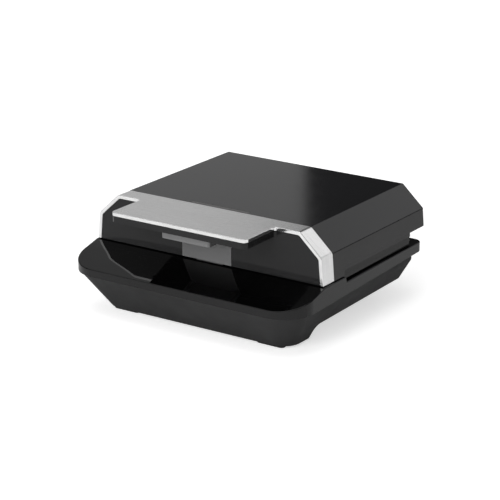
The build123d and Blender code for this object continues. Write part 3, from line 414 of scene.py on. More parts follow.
@dataclass(frozen=True)
class HeatedSheath(Finish):
    """Drawn heater tube, tinted brown and blue by its own heat.

    Attributes:
        warm: Colour of the straw tint.
        hot: Colour of the blue tint.
        crusted: Roughness where the scale is thickest.
    """

    warm: Colour = (0.34, 0.25, 0.15)
    hot: Colour = (0.16, 0.18, 0.24)
    crusted: float = 0.55

    def shade(self, shading: Shading) -> None:
        """Builds colour, gloss and relief."""
        tint = shading.noise(scale=26.0, detail=3.0)
        straw = shading.spread(tint, 0.0, 1.0, start=0.35, end=0.6)
        blue = shading.spread(tint, 0.0, 1.0, start=0.58, end=0.75)
        warmed = shading.blend(straw, self.colour, self.warm)
        shading.feed("Base Color", shading.blend(blue, warmed, self.hot))
        scale = shading.noise(scale=180.0, detail=4.0)
        shading.feed("Roughness", shading.spread(scale, self.roughness, self.crusted, *NOISE_MIDDLE))
        shading.bump(shading.noise(scale=900.0, detail=3.0), depth=1.5e-5)
        shading.set(Metallic=1.0)


@dataclass(frozen=True)
class ZincPlate(Finish):
    """Bright zinc on turned steel: crystal mottling and a little dullness in the hollows."""

    def shade(self, shading: Shading) -> None:
        """Builds colour, gloss and relief."""
        spangle = shading.noise(scale=700.0, detail=3.0)
        shading.feed("Base Color", self.tinted(shading, spangle, low=0.75, high=1.2))
        self.dulled(shading, shading.edges(radius=3e-4), low=1.0, high=0.6)
        shading.bump(spangle, depth=5e-6)
        shading.set(Metallic=1.0)


@dataclass(frozen=True)
class SmokedLens(Finish):
    """Smoked translucent plastic that lets a lamp glow through."""

    def shade(self, shading: Shading) -> None:
        """Builds colour, gloss and relief."""
        smoke = shading.noise(scale=90.0, detail=3.0)
        shading.feed("Base Color", self.tinted(shading, smoke, low=0.8, high=1.3))
        self.dulled(shading, smoke, low=0.8, high=1.2)
        shading.bump(shading.noise(scale=1200.0, detail=2.0), depth=4e-6)
        shading.set(Transmission_Weight=0.1, IOR=1.49)


@dataclass(frozen=True)
class LampGlass(Finish):
    """Clear glass of a small neon lamp, warm where the electrodes stand."""

    def shade(self, shading: Shading) -> None:
        """Builds colour, gloss and relief."""
        soot = shading.noise(scale=500.0, detail=2.0)
        shading.feed("Base Color", self.tinted(shading, soot, low=1.0, high=0.6))
        self.dulled(shading, soot, low=1.0, high=2.0)
        shading.bump(shading.noise(scale=220.0, detail=1.0), depth=1e-5)
        shading.set(Transmission_Weight=0.85, IOR=1.5)


class Palette:
    """The object's finishes, each material made once."""

    def __init__(self) -> None:
        """Names the finishes."""
        self.finishes: dict[str, Finish] = {
            finish.name: finish
            for finish in (
                MouldedPlastic("cover_gloss", (0.007, 0.007, 0.008), 0.10, shine=0.265),
                SatinPlastic("frame_satin", (0.030, 0.0295, 0.030), 0.07, painted_edge_tone=0.35, shine=0.20),
                # darker copy of frame_satin: a painted reflection on the lid's lower sides
                SatinPlastic("skirt_painted_reflection", (0.011, 0.011, 0.011), 0.09, painted_edge_tone=0.1, shine=0.18),
                PolishedPlastic("fascia_gloss", (0.0165, 0.0165, 0.017), 0.025, shine=0.25),
                PolishedPlastic("bezel_gloss", (0.0015, 0.0015, 0.0016), 0.03, shine=0.29),
                # lighter copy of bezel_gloss: painted light on the rim's outward band
                PolishedPlastic("band_gloss", (0.0105, 0.0105, 0.0107), 0.03, shine=0.29),
                MouldedPlastic("shell_satin", (0.039, 0.039, 0.0395), 0.55, grain_depth=1.4e-5, shine=0.06),
                MouldedPlastic(
                    "latch_satin", (0.195, 0.195, 0.197), 0.38, grain_depth=1.0e-5, painted_edge_tone=1.15, shine=0.7
                ),
                MouldedPlastic("terminal_nylon", (0.62, 0.60, 0.53), 0.45, painted_edge_tone=1.1),
                MouldedPlastic("thermostat_case", (0.045, 0.036, 0.030), 0.42, painted_edge_tone=1.6),
                BrushedMetal("trim_steel", (0.86, 0.86, 0.86), 0.30),
                # smoother, lighter copy of trim_steel: its lighter colour is a painted highlight
                BrushedMetal("trim_edge", (0.95, 0.95, 0.95), 0.12, Grain.EVEN, lines=90.0, line_depth=1e-6),
                BrushedMetal("shield_sheet", (0.6, 0.6, 0.6), 0.42, Grain.FRONT_TO_BACK, line_depth=8e-6),
                BrushedMetal("spring_steel", (0.42, 0.42, 0.43), 0.26, Grain.EVEN, lines=300.0),
                BrushedMetal("pin_steel", (0.56, 0.56, 0.57), 0.22, Grain.FRONT_TO_BACK),
                BrushedMetal("fuse_sleeve", (0.58, 0.58, 0.58), 0.35),
                NonStick("nonstick_coat", (0.020, 0.019, 0.019), 0.38),
                MattRubber("foot_rubber", (0.018, 0.018, 0.018), 0.75),
                MattRubber("gland_rubber", (0.014, 0.014, 0.014), 0.68),
                HeatedSheath("heater_sheath", (0.26, 0.25, 0.25), 0.32),
                ZincPlate("zinc_plate", (0.52, 0.53, 0.55), 0.30),
                SmokedLens("smoked_lens", (0.030, 0.027, 0.027), 0.12),
                LampGlass("lamp_glass", (0.85, 0.45, 0.30), 0.06),
            )
        }
        self.made: dict[str, bpy.types.Material] = {}

    def __getitem__(self, name: str) -> bpy.types.Material:
        """Returns a finish's material, and makes it the first time.

        Args:
            name: Name of the finish.

        Returns:
            The material.
        """
        if name not in self.made:
            self.made[name] = self.finishes[name].material()
        return self.made[name]


# ---- mesh helpers
def link_object(name: str, data: bpy.types.ID) -> bpy.types.Object:
    """Puts a mesh, a light or a camera in the scene as an object at the origin."""
    piece = bpy.data.objects.new(name, data)
    bpy.context.scene.collection.objects.link(piece)
    return piece


def made_plain(piece: bpy.types.Object) -> None:
    """Turns an object's live modifiers into its own mesh.

    Args:
        piece: The object, whose modifiers are removed.
    """
    evaluated = piece.evaluated_get(bpy.context.evaluated_depsgraph_get())
    mesh = bpy.data.meshes.new_from_object(evaluated)
    piece.modifiers.clear()
    piece.data = mesh


def merged_mesh(node: bpy.types.Object, name: str) -> bpy.types.Mesh:
    """Copies a node's loose triangles into one joined mesh with flat faces kept whole.

    Args:
        node: The frame's node.
        name: Name of the new mesh.

    Returns:
        The joined mesh.
    """
    mesh = bpy.data.meshes.new(name)
    source = node.data
    faces = [list(face.vertices) for face in source.polygons]
    mesh.from_pydata([vertex.co for vertex in source.vertices], [], faces)
    shape = bmesh.new()
    shape.from_mesh(mesh)
    bmesh.ops.remove_doubles(shape, verts=shape.verts, dist=WELD)
    bmesh.ops.dissolve_limit(shape, angle_limit=FLAT, verts=shape.verts, edges=shape.edges)
    shape.to_mesh(mesh)
    shape.free()
    return mesh


# ---- sub-assemblies
@dataclass
class SubAssembly:
    """Pieces that belong together on one body.

    Attributes:
        nodes: The frame's nodes by name.
        palette: The object's finishes.
        body: Body that the pieces ride on.
    """

    nodes: dict[str, bpy.types.Object]
    palette: Palette
    body: Body = Body.BASE

    def dress(self, node: str, finish: str) -> None:
        """Gives a node of the frame a finish.

        Args:
            node: Name of the node.
            finish: Name of the finish.
        """
        mesh = self.nodes[node].data
        mesh.materials.clear()
        mesh.materials.append(self.palette[finish])
        LOG.info("%s dressed in %s", node, finish)

    def refine(
        self, node: str, finish: str, slot: str, edge: float, segments: int = 2
    ) -> bpy.types.Object:
        """Stands a joined copy with softened edges in a node's place.

        Args:
            node: Name of the node.
            finish: Name of the finish.
            slot: The record's material slot.
            edge: Width of the softened edges in metres.
            segments: Faces across each softened edge.

        Returns:
            The new piece.
        """
        piece = link_object(f"{node}_skin", merged_mesh(self.nodes[node], node))
        softened = piece.modifiers.new("edge", "BEVEL")
        softened.width = edge
        softened.segments = segments
        softened.limit_method = "ANGLE"
        softened.angle_limit = SHARP
        softened.use_clamp_overlap = False
        evened = piece.modifiers.new("normals", "WEIGHTED_NORMAL")
        evened.mode = "FACE_AREA"
        evened.keep_sharp = True
        piece.data.shade_smooth()
        made_plain(piece)
        piece.data.materials.append(self.palette[finish])
        self.enlist(piece, slot, node)
        return piece

    def enlist(self, piece: bpy.types.Object, slot: str, *nodes: str) -> None:
        """Hangs a piece on its body and hides the nodes that it replaces.

        Args:
            piece: The piece.
            slot: The record's material slot; not used.
            nodes: Names of the nodes that it replaces.
        """
        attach(piece, self.body.value)
        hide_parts(*nodes)
        LOG.info("%s made, %d faces", piece.name, len(piece.data.polygons))


@dataclass
class LidShell(SubAssembly):
    """Mouldings of the lid.

    Attributes:
        soft_edge: Width of the mouldings' softened edges in metres.
        skirt_height: Height of the stepped skirt in metres.
        sideways: Least sideways share of the normal of a face in the lid's sides.
    """

    body: Body = Body.LID
    soft_edge: float = 1.2e-4
    skirt_height: float = 8.6e-3
    sideways: float = 0.7

    def build(self) -> None:
        """Builds the cover, the frame, the front panel and the smoked strip."""
        self.refine("lid_top_cover", "cover_gloss", "cover_black", self.soft_edge)
        rim = self.refine("lid_frame", "frame_satin", "frame_black", self.soft_edge)
        # The frame's outward sides below the skirt's top get a darker copy of its finish: a painted
        # reflection of the base's dark ledge.
        rim.data.materials.append(self.palette["skirt_painted_reflection"])
        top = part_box("lid_frame")[0].z + self.skirt_height
        for face in rim.data.polygons:
            outward = face.normal.x * face.center.x > 0.0 and abs(face.normal.x) > self.sideways
            face.material_index = int(outward and face.center.z < top)
        self.refine("fascia", "fascia_gloss", "fascia_black", self.soft_edge)
        self.refine("indicator_window", "smoked_lens", "smoked_window", self.soft_edge / 2)


@dataclass
class SteelTrim(SubAssembly):
    """Pressed steel cap and handle tongue.

    Attributes:
        rolled_edge: Width of the sheet's rolled edges in metres.
        band_depth: Front to back of the band over the lid in metres.
        edge_depth: How far behind the band's front the smoother polish and the painted highlight reach in
            metres.
        upward: Least upward share of the normal of the brushed face.
    """

    body: Body = Body.LID
    rolled_edge: float = 4e-4
    band_depth: float = 19e-3
    edge_depth: float = 2e-4
    upward: float = 0.6

    def build(self) -> None:
        """Builds the cap, brushed on its face and given a smoother polish round its turned-down edges, which
        are also painted lighter as a highlight.
        """
        cap = self.refine("steel_trim", "trim_steel", "brushed_trim", self.rolled_edge, segments=3)
        # The turned-down faces near the front get a smoother steel whose lighter colour is a painted
        # highlight.
        cap.data.materials.append(self.palette["trim_edge"])
        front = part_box("steel_trim")[1].y - self.band_depth + self.edge_depth
        for face in cap.data.polygons:
            face.material_index = int(face.normal.z < self.upward and face.center.y < front)


@dataclass
class Latch(SubAssembly):
    """Squeeze latch, its pin and its keeper.

    Attributes:
        soft_edge: Width of the lever's softened edges in metres.
    """

    body: Body = Body.LATCH
    soft_edge: float = 1.5e-4

    def build(self) -> None:
        """Builds the lever and dresses the metal pieces that it works with."""
        self.refine("latch_lever", "latch_satin", "latch_grey", self.soft_edge)
        self.dress("latch_pin", "pin_steel")
        self.dress("latch_keeper", "spring_steel")


@dataclass
class BaseHousing(SubAssembly):
    """Rim, bowl, feet, cord inlet and hinge pins.

    Attributes:
        soft_edge: Width of the mouldings' softened edges in metres.
        upright: Most upward or downward share of the normal of a face in the rim's band.
    """

    soft_edge: float = 1.5e-4
    upright: float = 0.35

    def build(self) -> None:
        """Builds the mouldings and dresses the fittings."""
        rim = self.refine("base_bezel", "bezel_gloss", "gloss_black", self.soft_edge)
        # The rim's outward band gets a lighter copy of the deck's gloss: painted light standing in for the
        # floor's reflection on the band.
        rim.data.materials.append(self.palette["band_gloss"])
        for face in rim.data.polygons:
            outward = face.normal.x * face.center.x + face.normal.y * face.center.y > 0.0
            face.material_index = int(outward and abs(face.normal.z) < self.upright)
        self.refine("base_shell", "shell_satin", "satin_black", self.soft_edge)
        for node, finish in (
            ("front_feet", "foot_rubber"),
            ("rear_feet", "foot_rubber"),
            ("cord_gland", "gland_rubber"),
            ("hinge_pins", "pin_steel"),
            ("terminal_block", "terminal_nylon"),
            ("thermostat", "thermostat_case"),
        ):
            self.dress(node, finish)


@dataclass
class CookingPlates(SubAssembly):
    """The two plates with their heaters and shields."""

    def build(self) -> None:
        """Dresses both halves."""
        for half in ("lower", "upper"):
            self.dress(f"{half}_plate", "nonstick_coat")
            self.dress(f"{half}_element", "heater_sheath")
            self.dress(f"{half}_heat_shield", "shield_sheet")
        self.dress("thermal_fuse", "fuse_sleeve")
        self.dress("pilot_lamps", "lamp_glass")


# ---- repeated pieces
class Network:
    """Geometry Nodes tree with named inputs."""

    def __init__(self, name: str, sizes: dict[str, float]) -> None:
        """Starts a tree that takes points and gives geometry.

        Args:
            name: Name of the tree.
            sizes: Names and default values of its size inputs.
        """
        self.tree = bpy.data.node_groups.new(name, "GeometryNodeTree")
        face = self.tree.interface
        face.new_socket("Places", in_out="INPUT", socket_type="NodeSocketGeometry")
        self.keys: dict[str, str] = {}
        for label, value in sizes.items():
            socket = face.new_socket(label, in_out="INPUT", socket_type="NodeSocketFloat")
            socket.default_value = value
            self.keys[label] = socket.identifier
        finish = face.new_socket("Finish", in_out="INPUT", socket_type="NodeSocketMaterial")
        self.keys["Finish"] = finish.identifier
        face.new_socket("Pieces", in_out="OUTPUT", socket_type="NodeSocketGeometry")
        self.start = self.tree.nodes.new("NodeGroupInput")
        self.end = self.tree.nodes.new("NodeGroupOutput")

    def size(self, name: str) -> Socket:
        """Returns one of the named inputs."""
        return self.start.outputs[name]

    def node(self, kind: str, **inputs: object) -> bpy.types.Node:
        """Adds a node and fills its inputs.

        Args:
            kind: Type name of the node.
            inputs: Values or sockets by input name or number, such as Side_Segments or in0.

        Returns:
            The node.
        """
        node = self.tree.nodes.new(kind)
        for name, value in inputs.items():
            if name.startswith("in") and name[2:].isdigit():
                socket = node.inputs[int(name[2:])]
            else:
                socket = node.inputs[name.replace("_", " ")]
            if isinstance(value, bpy.types.NodeSocket):
                self.tree.links.new(value, socket)
            else:
                socket.default_value = value
        return node

    def maths(self, operation: str, first: object, second: object = 0.0) -> Socket:
        """Adds a Math node.

        Args:
            operation: Its operation.
            first: First value or socket.
            second: Second value or socket.

        Returns:
            The result's socket.
        """
        node = self.node("ShaderNodeMath", in0=first, in1=second)
        node.operation = operation
        return node.outputs[0]

    def vector(self, x: object = 0.0, y: object = 0.0, z: object = 0.0) -> Socket:
        """Joins three values into a vector."""
        return self.node("ShaderNodeCombineXYZ", X=x, Y=y, Z=z).outputs[0]

    def turned(
        self,
        stations: int,
        points: int,
        radius: Socket,
        length: Socket,
        shape: Callable[[Socket, bpy.types.Node], Socket],
    ) -> Socket:
        """Turned body along Z from height 0, its radius shaped along its length.

        Args:
            stations: Rings along the length.
            points: Points round each ring.
            radius: Radius before shaping.
            length: Length along Z.
            shape: Gives the radius factor from the share of the length and the split position.

        Returns:
            The socket with the mesh.
        """
        body = self.node(
            "GeometryNodeMeshCylinder", Vertices=points, Side_Segments=stations, Fill_Segments=1,
            Radius=radius, Depth=length,
        )
        place = self.node("GeometryNodeInputPosition").outputs[0]
        split = self.node("ShaderNodeSeparateXYZ", Vector=place)
        height = self.maths("ADD", split.outputs["Z"], self.maths("MULTIPLY", length, 0.5))
        factor = shape(self.maths("DIVIDE", height, length), split)
        moved = self.vector(
            self.maths("MULTIPLY", split.outputs["X"], factor),
            self.maths("MULTIPLY", split.outputs["Y"], factor),
            height,
        )
        mesh = body.outputs["Mesh"]
        return self.node("GeometryNodeSetPosition", Geometry=mesh, Position=moved).outputs[0]

    def joined(self, *parts: Socket) -> Socket:
        """Joins geometries."""
        join = self.tree.nodes.new("GeometryNodeJoinGeometry")
        for part in parts:
            self.tree.links.new(part, join.inputs[0])
        return join.outputs[0]

    def close(self, pieces: Socket) -> None:
        """Ends the tree: instances made real, material set."""
        real = self.node("GeometryNodeRealizeInstances", Geometry=pieces).outputs[0]
        smooth = self.node("GeometryNodeSetShadeSmooth", Geometry=real).outputs[0]
        dressed = self.node("GeometryNodeSetMaterial", Geometry=smooth, Material=self.size("Finish"))
        self.tree.links.new(dressed.outputs[0], self.end.inputs[0])

    def grown(
        self, name: str, points: list[Vector], stretch: list[float], values: dict[str, object]
    ) -> bpy.types.Object:
        """Runs the tree on points and returns the plain piece.

        Args:
            name: Name of the piece.
            points: Places of the copies.
            stretch: One length for each place, read by the tree as "reach".
            values: Values of named inputs.

        Returns:
            The piece as a plain mesh.
        """
        mesh = bpy.data.meshes.new(name)
        mesh.from_pydata(points, [], [])
        mesh.attributes.new("reach", "FLOAT", "POINT").data.foreach_set("value", stretch)
        piece = link_object(name, mesh)
        growth = piece.modifiers.new("growth", "NODES")
        growth.node_group = self.tree
        for label, value in values.items():
            growth[self.keys[label]] = value
        made_plain(piece)
        return piece


class ScrewNetwork(Network):
    """Tree of a pan-head screw with a cross recess and a rolled thread."""

    HEAD_RINGS, HEAD_POINTS = 6, 32
    SHANK_RINGS, SHANK_POINTS = 56, 16
    CROWN_POWER, CROWN_FALL = 4.0, 0.22    # where the head's crown starts, and how much radius it loses
    WINDING = 44.0                         # radians of thread from the head to the tip
    CORE, CREST = 0.93, 0.07               # the thread's middle and height, shares of the shank's radius
    TIP_POWER, TIP_FALL = 12.0, 0.35       # where the tip's taper starts, and how much radius it loses
    RECESS_LIFT = 0.45                     # middle of the recess's bars, a share of their depth

    def __init__(self) -> None:
        """Builds the tree, ready to be grown on the screws' seats."""
        super().__init__(
            "pan_head_screw",
            {
                "Head Radius": 3.5e-3, "Head Height": 2.6e-3, "Shank Radius": 1.6e-3,
                "Recess Width": 0.9e-3, "Recess Reach": 3.6e-3, "Recess Depth": 1.5e-3,
                "Overturn": 0.0, "Seed": 5.0,
            },
        )
        unit = self.node("ShaderNodeValue").outputs[0]
        unit.default_value = 1.0
        radius = self.size("Shank Radius")
        shank = self.turned(self.SHANK_RINGS, self.SHANK_POINTS, radius, unit, self.thread)
        reach = self.node("GeometryNodeInputNamedAttribute", Name="reach").outputs[0]
        rotation = self.rotation()
        parts = [
            self.node(
                "GeometryNodeInstanceOnPoints", Points=self.size("Places"), Instance=part,
                Rotation=rotation, Scale=scale,
            ).outputs[0]
            for part, scale in (
                (self.head(), self.vector(1.0, 1.0, 1.0)), (shank, self.vector(1.0, 1.0, reach))
            )
        ]
        self.close(self.joined(*parts))

    def pan(self, share: Socket, _: bpy.types.Node) -> Socket:
        """Rounds the head's crown.

        Args:
            share: Share of the head's height.

        Returns:
            The radius factor.
        """
        depth = self.maths("POWER", self.maths("SUBTRACT", 1.0, share), self.CROWN_POWER)
        return self.maths("SUBTRACT", 1.0, self.maths("MULTIPLY", depth, self.CROWN_FALL))

    def thread(self, share: Socket, split: bpy.types.Node) -> Socket:
        """Winds a thread round the shank, with a plain tip.

        Args:
            share: Share of the shank's length.
            split: Node with the position's X, Y and Z.

        Returns:
            The radius factor.
        """
        angle = self.maths("ARCTAN2", split.outputs["Y"], split.outputs["X"])
        winding = self.maths("ADD", self.maths("MULTIPLY", share, self.WINDING), angle)
        crest = self.maths("MULTIPLY", self.maths("SINE", winding), self.CREST)
        tip = self.maths("MULTIPLY", self.maths("POWER", share, self.TIP_POWER), self.TIP_FALL)
        return self.maths("SUBTRACT", self.maths("ADD", crest, self.CORE), tip)

    def head(self) -> Socket:
        """Turns the head, cuts its cross recess and hangs it below the seat.

        Returns:
            The socket with the head's mesh.
        """
        radius, height, depth = map(self.size, ("Head Radius", "Head Height", "Recess Depth"))
        crown = self.turned(self.HEAD_RINGS, self.HEAD_POINTS, radius, height, self.pan)
        recessed = self.node("GeometryNodeMeshBoolean")
        recessed.operation = "DIFFERENCE"
        self.tree.links.new(crown, recessed.inputs["Mesh 1"])
        for turn in (0.0, math.pi / 2):
            size = self.vector(self.size("Recess Reach"), self.size("Recess Width"), depth)
            bar = self.node("GeometryNodeMeshCube", Size=size)
            lift = self.vector(z=self.maths("MULTIPLY", depth, self.RECESS_LIFT))
            placed = self.node(
                "GeometryNodeTransform", Geometry=bar.outputs["Mesh"], Translation=lift,
                Rotation=(0.0, 0.0, turn),
            )
            self.tree.links.new(placed.outputs[0], recessed.inputs["Mesh 2"])
        drop = self.vector(z=self.maths("MULTIPLY", height, -1.0))
        return self.node(
            "GeometryNodeTransform", Geometry=recessed.outputs["Mesh"], Translation=drop
        ).outputs[0]

    def rotation(self) -> Socket:
        """Turns each screw by its own angle, and the group over where its heads point up.

        Returns:
            The socket with the rotation.
        """
        turn = self.node("FunctionNodeRandomValue")
        turn.data_type = "FLOAT"
        spin = next(s for s in turn.outputs if s.type == "VALUE" and s.enabled)
        least, most = (s for s in turn.inputs if s.type == "VALUE" and s.enabled)
        least.default_value, most.default_value = 0.0, math.pi
        self.tree.links.new(self.size("Seed"), turn.inputs["Seed"])
        facing = self.vector(self.size("Overturn"), 0.0, spin)
        return self.node("FunctionNodeEulerToRotation", Euler=facing).outputs[0]


class SpringNetwork(Network):
    """Tree of a compression spring."""

    TURN_STEPS, WIRE_POINTS = 28, 10

    def __init__(self) -> None:
        """Builds the tree, ready to be grown on the springs' seats."""
        sizes = {"Coil Radius": 2.6e-3, "Wire Radius": 4e-4, "Turns": 6.0, "Height": 0.02}
        super().__init__("compression_spring", sizes)
        turns, radius, height = map(self.size, ("Turns", "Coil Radius", "Height"))
        coil = self.node(
            "GeometryNodeCurveSpiral", Resolution=self.TURN_STEPS, Rotations=turns,
            Start_Radius=radius, End_Radius=radius, Height=height,
        )
        wire = self.node(
            "GeometryNodeCurvePrimitiveCircle", Resolution=self.WIRE_POINTS, Radius=self.size("Wire Radius")
        )
        body = self.node(
            "GeometryNodeCurveToMesh", Curve=coil.outputs[0], Profile_Curve=wire.outputs[0], Fill_Caps=True
        )
        copies = self.node(
            "GeometryNodeInstanceOnPoints", Points=self.size("Places"), Instance=body.outputs[0]
        )
        self.close(copies.outputs[0])


@dataclass
class Fasteners(SubAssembly):
    """Screws and springs, grown where the frame has them.

    Attributes:
        head_height: Height of a screw's head in metres.
        row_depth: Depth in metres beyond which a group stands in two rows.
        wire_radius: Radius of the springs' wire in metres.
        turns: Turns of each spring.
    """

    head_height: float = 2.6e-3
    row_depth: float = 0.02
    wire_radius: float = 4e-4
    turns: float = 6.0

    def corners(self, node: str) -> list[tuple[Vector, Vector]]:
        """Splits a node's solids by the quarter of its box that they stand in.

        Args:
            node: Name of the node.

        Returns:
            The lowest and highest corner of each solid.
        """
        low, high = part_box(node)
        middle = (low + high) / 2
        quarters: dict[tuple[bool, bool], list[Vector]] = {}
        for vertex in self.nodes[node].data.vertices:
            deep = high.y - low.y > self.row_depth and vertex.co.y > middle.y
            quarters.setdefault((vertex.co.x > middle.x, deep), []).append(vertex.co)
        found = []
        for key in sorted(quarters):
            points = quarters[key]
            lows = Vector(min(p[axis] for p in points) for axis in range(3))
            highs = Vector(max(p[axis] for p in points) for axis in range(3))
            found.append((lows, highs))
        return found

    def screws(self, net: Network, node: str, head: Head) -> None:
        """Grows one group of screws.

        Args:
            net: The screw's tree.
            node: Name of the node that the group stands for.
            head: Which way the heads point.
        """
        seats, reach = [], []
        for low, high in self.corners(node):
            level = low.z + self.head_height if head is Head.DOWN else high.z - self.head_height
            middle = (low + high) / 2
            seats.append(Vector((middle.x, middle.y, level)))
            reach.append(high.z - low.z - self.head_height)
        finish = self.palette["zinc_plate"]
        values = {"Head Height": self.head_height, "Overturn": head.value, "Finish": finish}
        piece = net.grown(f"{node}_cross", seats, reach, values)
        self.enlist(piece, "zinc_screw", node)

    def springs(self, net: Network) -> None:
        """Grows the two springs under the latch.

        Args:
            net: The spring's tree.
        """
        places, height, radius = [], 0.0, 0.0
        for low, high in self.corners("latch_springs"):
            middle = (low + high) / 2
            places.append(Vector((middle.x, middle.y, low.z + self.wire_radius)))
            height = high.z - low.z - 2 * self.wire_radius
            radius = (high.x - low.x) / 2 - self.wire_radius
        values = {
            "Coil Radius": radius, "Wire Radius": self.wire_radius, "Turns": self.turns,
            "Height": height, "Finish": self.palette["spring_steel"],
        }
        piece = net.grown("latch_springs_wire", places, [height] * len(places), values)
        self.enlist(piece, "spring_steel", "latch_springs")
        low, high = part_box("latch_springs")
        squeeze = next(joint for joint in frame["joints"] if joint["name"] == "latch_squeeze")
        drop = (high.y - squeeze["pos_m"][1]) * math.sin(math.radians(squeeze["range_deg"][1]))
        1.0 - drop / (high.z - low.z)
        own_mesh(piece)

    def build(self) -> None:
        """Grows every group on its own body."""
        net = ScrewNetwork()
        for body, node, head in (
            (Body.BASE, "plate_screws", Head.DOWN),
            (Body.BASE, "rim_screws", Head.DOWN),
            (Body.LID, "upper_plate_screws", Head.UP),
            (Body.LID, "shield_screws", Head.UP),
            (Body.LID, "lid_screws", Head.DOWN),
        ):
            self.body = body
            self.screws(net, node, head)
        self.body = Body.LID
        self.springs(SpringNetwork())


# ---- studio
def hung(name: str, data: bpy.types.ID, place: Point, way: Vector) -> bpy.types.Object:
    """Hangs a light or the camera at a place, looking along a direction."""
    holder = link_object(name, data)
    holder.matrix_world = Matrix.Translation(place) @ way.to_track_quat("-Z", "Y").to_matrix().to_4x4()
    return holder


@dataclass(frozen=True)
class Softbox:
    """Rectangular light.

    Attributes:
        name: Its name.
        place: Its middle.
        target: Point that it faces.
        size: Width and height in metres.
        radiance: Brightness of its face.
        mirrored: Whether glossy surfaces show it.
    """

    name: str
    place: Point
    target: Point
    size: tuple[float, float]
    radiance: float
    mirrored: bool = True

    def hang(self) -> None:
        """Puts the light in the scene."""
        lamp = bpy.data.lights.new(self.name, "AREA")
        lamp.shape = "RECTANGLE"
        lamp.size, lamp.size_y = self.size
        lamp.energy = self.radiance * math.pi * self.size[0] * self.size[1]
        holder = hung(self.name, lamp, self.place, Vector(self.target) - Vector(self.place))
        holder.visible_glossy = self.mirrored


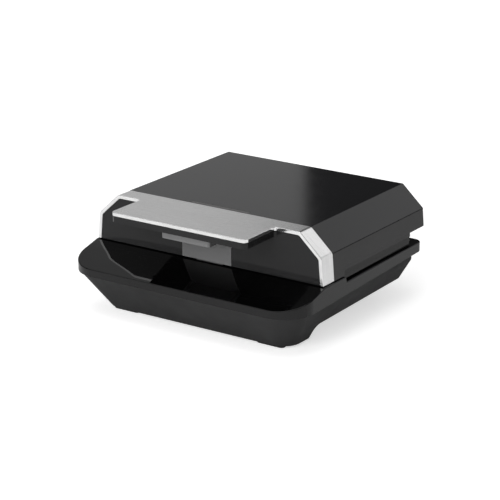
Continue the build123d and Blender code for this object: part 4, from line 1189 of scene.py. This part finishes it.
@dataclass
class Studio:
    """Floor, lights, world and camera.

    Attributes:
        floor_size: Side of the floor in metres.
        floor_colour: Diffuse colour of the floor.
        floor_lift: Extra light that the camera and clear pieces see on the floor.
        floor_fade: Distances between which the floor fades to white for the camera.
        mirror_share: Share of that light which glossy pieces mirror.
        ambient: Strength of the world for all but camera rays.
        camera_place: Where the camera stands.
        camera_turn: Heading of the view, degrees from straight back towards the left.
        camera_dip: How far the view dips, degrees.
        camera_range: Nearest and farthest distance in view.
        lens: Focal length in millimetres.
        sensor: Width of the sensor in millimetres.
        softboxes: The lights.
    """

    floor_size: float = 8.0
    floor_colour: Colour = (0.8, 0.8, 0.8)
    floor_lift: float = 0.6
    floor_fade: tuple[float, float] = (1.0, 3.0)
    mirror_share: float = 0.27
    ambient: float = 0.042
    camera_place: Point = (0.9811, -1.4524, 0.6383)
    camera_turn: float = 33.99
    camera_dip: float = 18.49
    camera_range: tuple[float, float] = (0.05, 50.0)
    lens: float = 138.4
    sensor: float = 36.0
    softboxes: tuple[Softbox, ...] = (
        Softbox("overhead", (-0.2, -0.3, 2.4), (0.0, 0.0, 0.1), (2.6, 2.0), 1.75),
        Softbox("rear_left", (-1.76, 1.43, 1.45), (-1.05, 0.73, 1.45), (1.6, 2.3), 0.45),
        Softbox("rear", (0.75, 2.37, 1.8), (0.0, 0.0, 0.1), (1.8, 1.2), 1.07),
        Softbox("front", (0.5, -2.8, 1.5), (0.0, 0.0, 0.05), (1.8, 1.2), 5.2, mirrored=False),
        Softbox("front_panel", (0.2, -2.9, 1.6), (0.0, 0.0, 0.1), (3.0, 2.0), 0.6),
        Softbox("right", (2.6, 0.3, 1.4), (0.0, 0.0, 0.05), (1.8, 1.6), 0.75),
        Softbox("low_front", (-0.75, -2.5, 0.55), (0.0, 0.0, 0.08), (1.2, 0.7), 2.8, mirrored=False),
        Softbox("front_left", (-1.4, -2.0, 1.9), (0.0, 0.0, 0.1), (2.0, 1.4), 1.25),
        Softbox("rear_low", (1.5, 2.1, 0.5), (0.0, 0.0, 0.08), (1.6, 1.0), 0.9),
    )

    def world(self) -> None:
        """Makes the world white to the camera and dim to everything else."""
        world = bpy.data.worlds.new("studio")
        bpy.context.scene.world = world
        world.use_nodes = True
        tree = world.node_tree
        tree.nodes.clear()
        path = tree.nodes.new("ShaderNodeLightPath")
        strength = tree.nodes.new("ShaderNodeMapRange")
        strength.inputs["To Min"].default_value = self.ambient
        strength.inputs["To Max"].default_value = 1.0
        tree.links.new(path.outputs["Is Camera Ray"], strength.inputs["Value"])
        background = tree.nodes.new("ShaderNodeBackground")
        background.inputs["Color"].default_value = (1.0, 1.0, 1.0, 1.0)
        tree.links.new(strength.outputs["Result"], background.inputs["Strength"])
        output = tree.nodes.new("ShaderNodeOutputWorld")
        tree.links.new(background.outputs[0], output.inputs["Surface"])

    def floor(self) -> None:
        """Lays the pale floor."""
        half = self.floor_size / 2
        mesh = bpy.data.meshes.new("floor")
        corners = [(-half, -half, 0.0), (half, -half, 0.0), (half, half, 0.0), (-half, half, 0.0)]
        mesh.from_pydata(corners, [], [(0, 1, 2, 3)])
        shading = Shading("studio_floor")
        paper = shading.noise(scale=3.0, detail=3.0)
        tint = shading.blend(paper, self.floor_colour, lightened(self.floor_colour, 1.01))
        shading.feed("Base Color", tint)
        shading.set(Roughness=1.0, Specular_IOR_Level=0.0)
        path = shading.tree.nodes.new("ShaderNodeLightPath")
        seen = shading.maths("ADD", path.outputs["Is Camera Ray"], path.outputs["Is Transmission Ray"])
        mirrored = shading.spread(path.outputs["Is Glossy Ray"], 0.0, self.mirror_share)
        lift = shading.spread(shading.maths("ADD", seen, mirrored), 0.0, self.floor_lift)
        far = shading.spread(shading.distance(), 0.0, 1.0, *self.floor_fade)
        shading.feed("Emission Strength", shading.maths("ADD", lift, shading.maths("MULTIPLY", seen, far)))
        shading.set(Emission_Color=(1.0, 1.0, 1.0))
        mesh.materials.append(shading.material)
        link_object("floor", mesh)

    def camera(self) -> None:
        """Sets the camera."""
        turn, dip = math.radians(self.camera_turn), math.radians(self.camera_dip)
        level = math.cos(dip)
        way = Vector((-math.sin(turn) * level, math.cos(turn) * level, -math.sin(dip)))
        lens = bpy.data.cameras.new("camera")
        lens.lens, lens.sensor_width = self.lens, self.sensor
        lens.clip_start, lens.clip_end = self.camera_range
        bpy.context.scene.camera = hung("camera", lens, self.camera_place, way)

    def build(self) -> None:
        """Sets the studio up."""
        self.floor()
        for softbox in self.softboxes:
            softbox.hang()
        self.world()
        self.camera()
        bpy.context.scene.view_settings.view_transform = "Standard"
        LOG.info("studio set")


def main() -> None:
    """Builds the whole scene, one sub-assembly after another."""
    logging.basicConfig(level=logging.INFO, format="%(message)s")
    nodes = frame["nodes"]
    palette = Palette()
    Studio().build()
    for assembly in (LidShell, SteelTrim, Latch, BaseHousing, CookingPlates, Fasteners):
        assembly(nodes, palette).build()


if __name__ == "__main__":
    main()
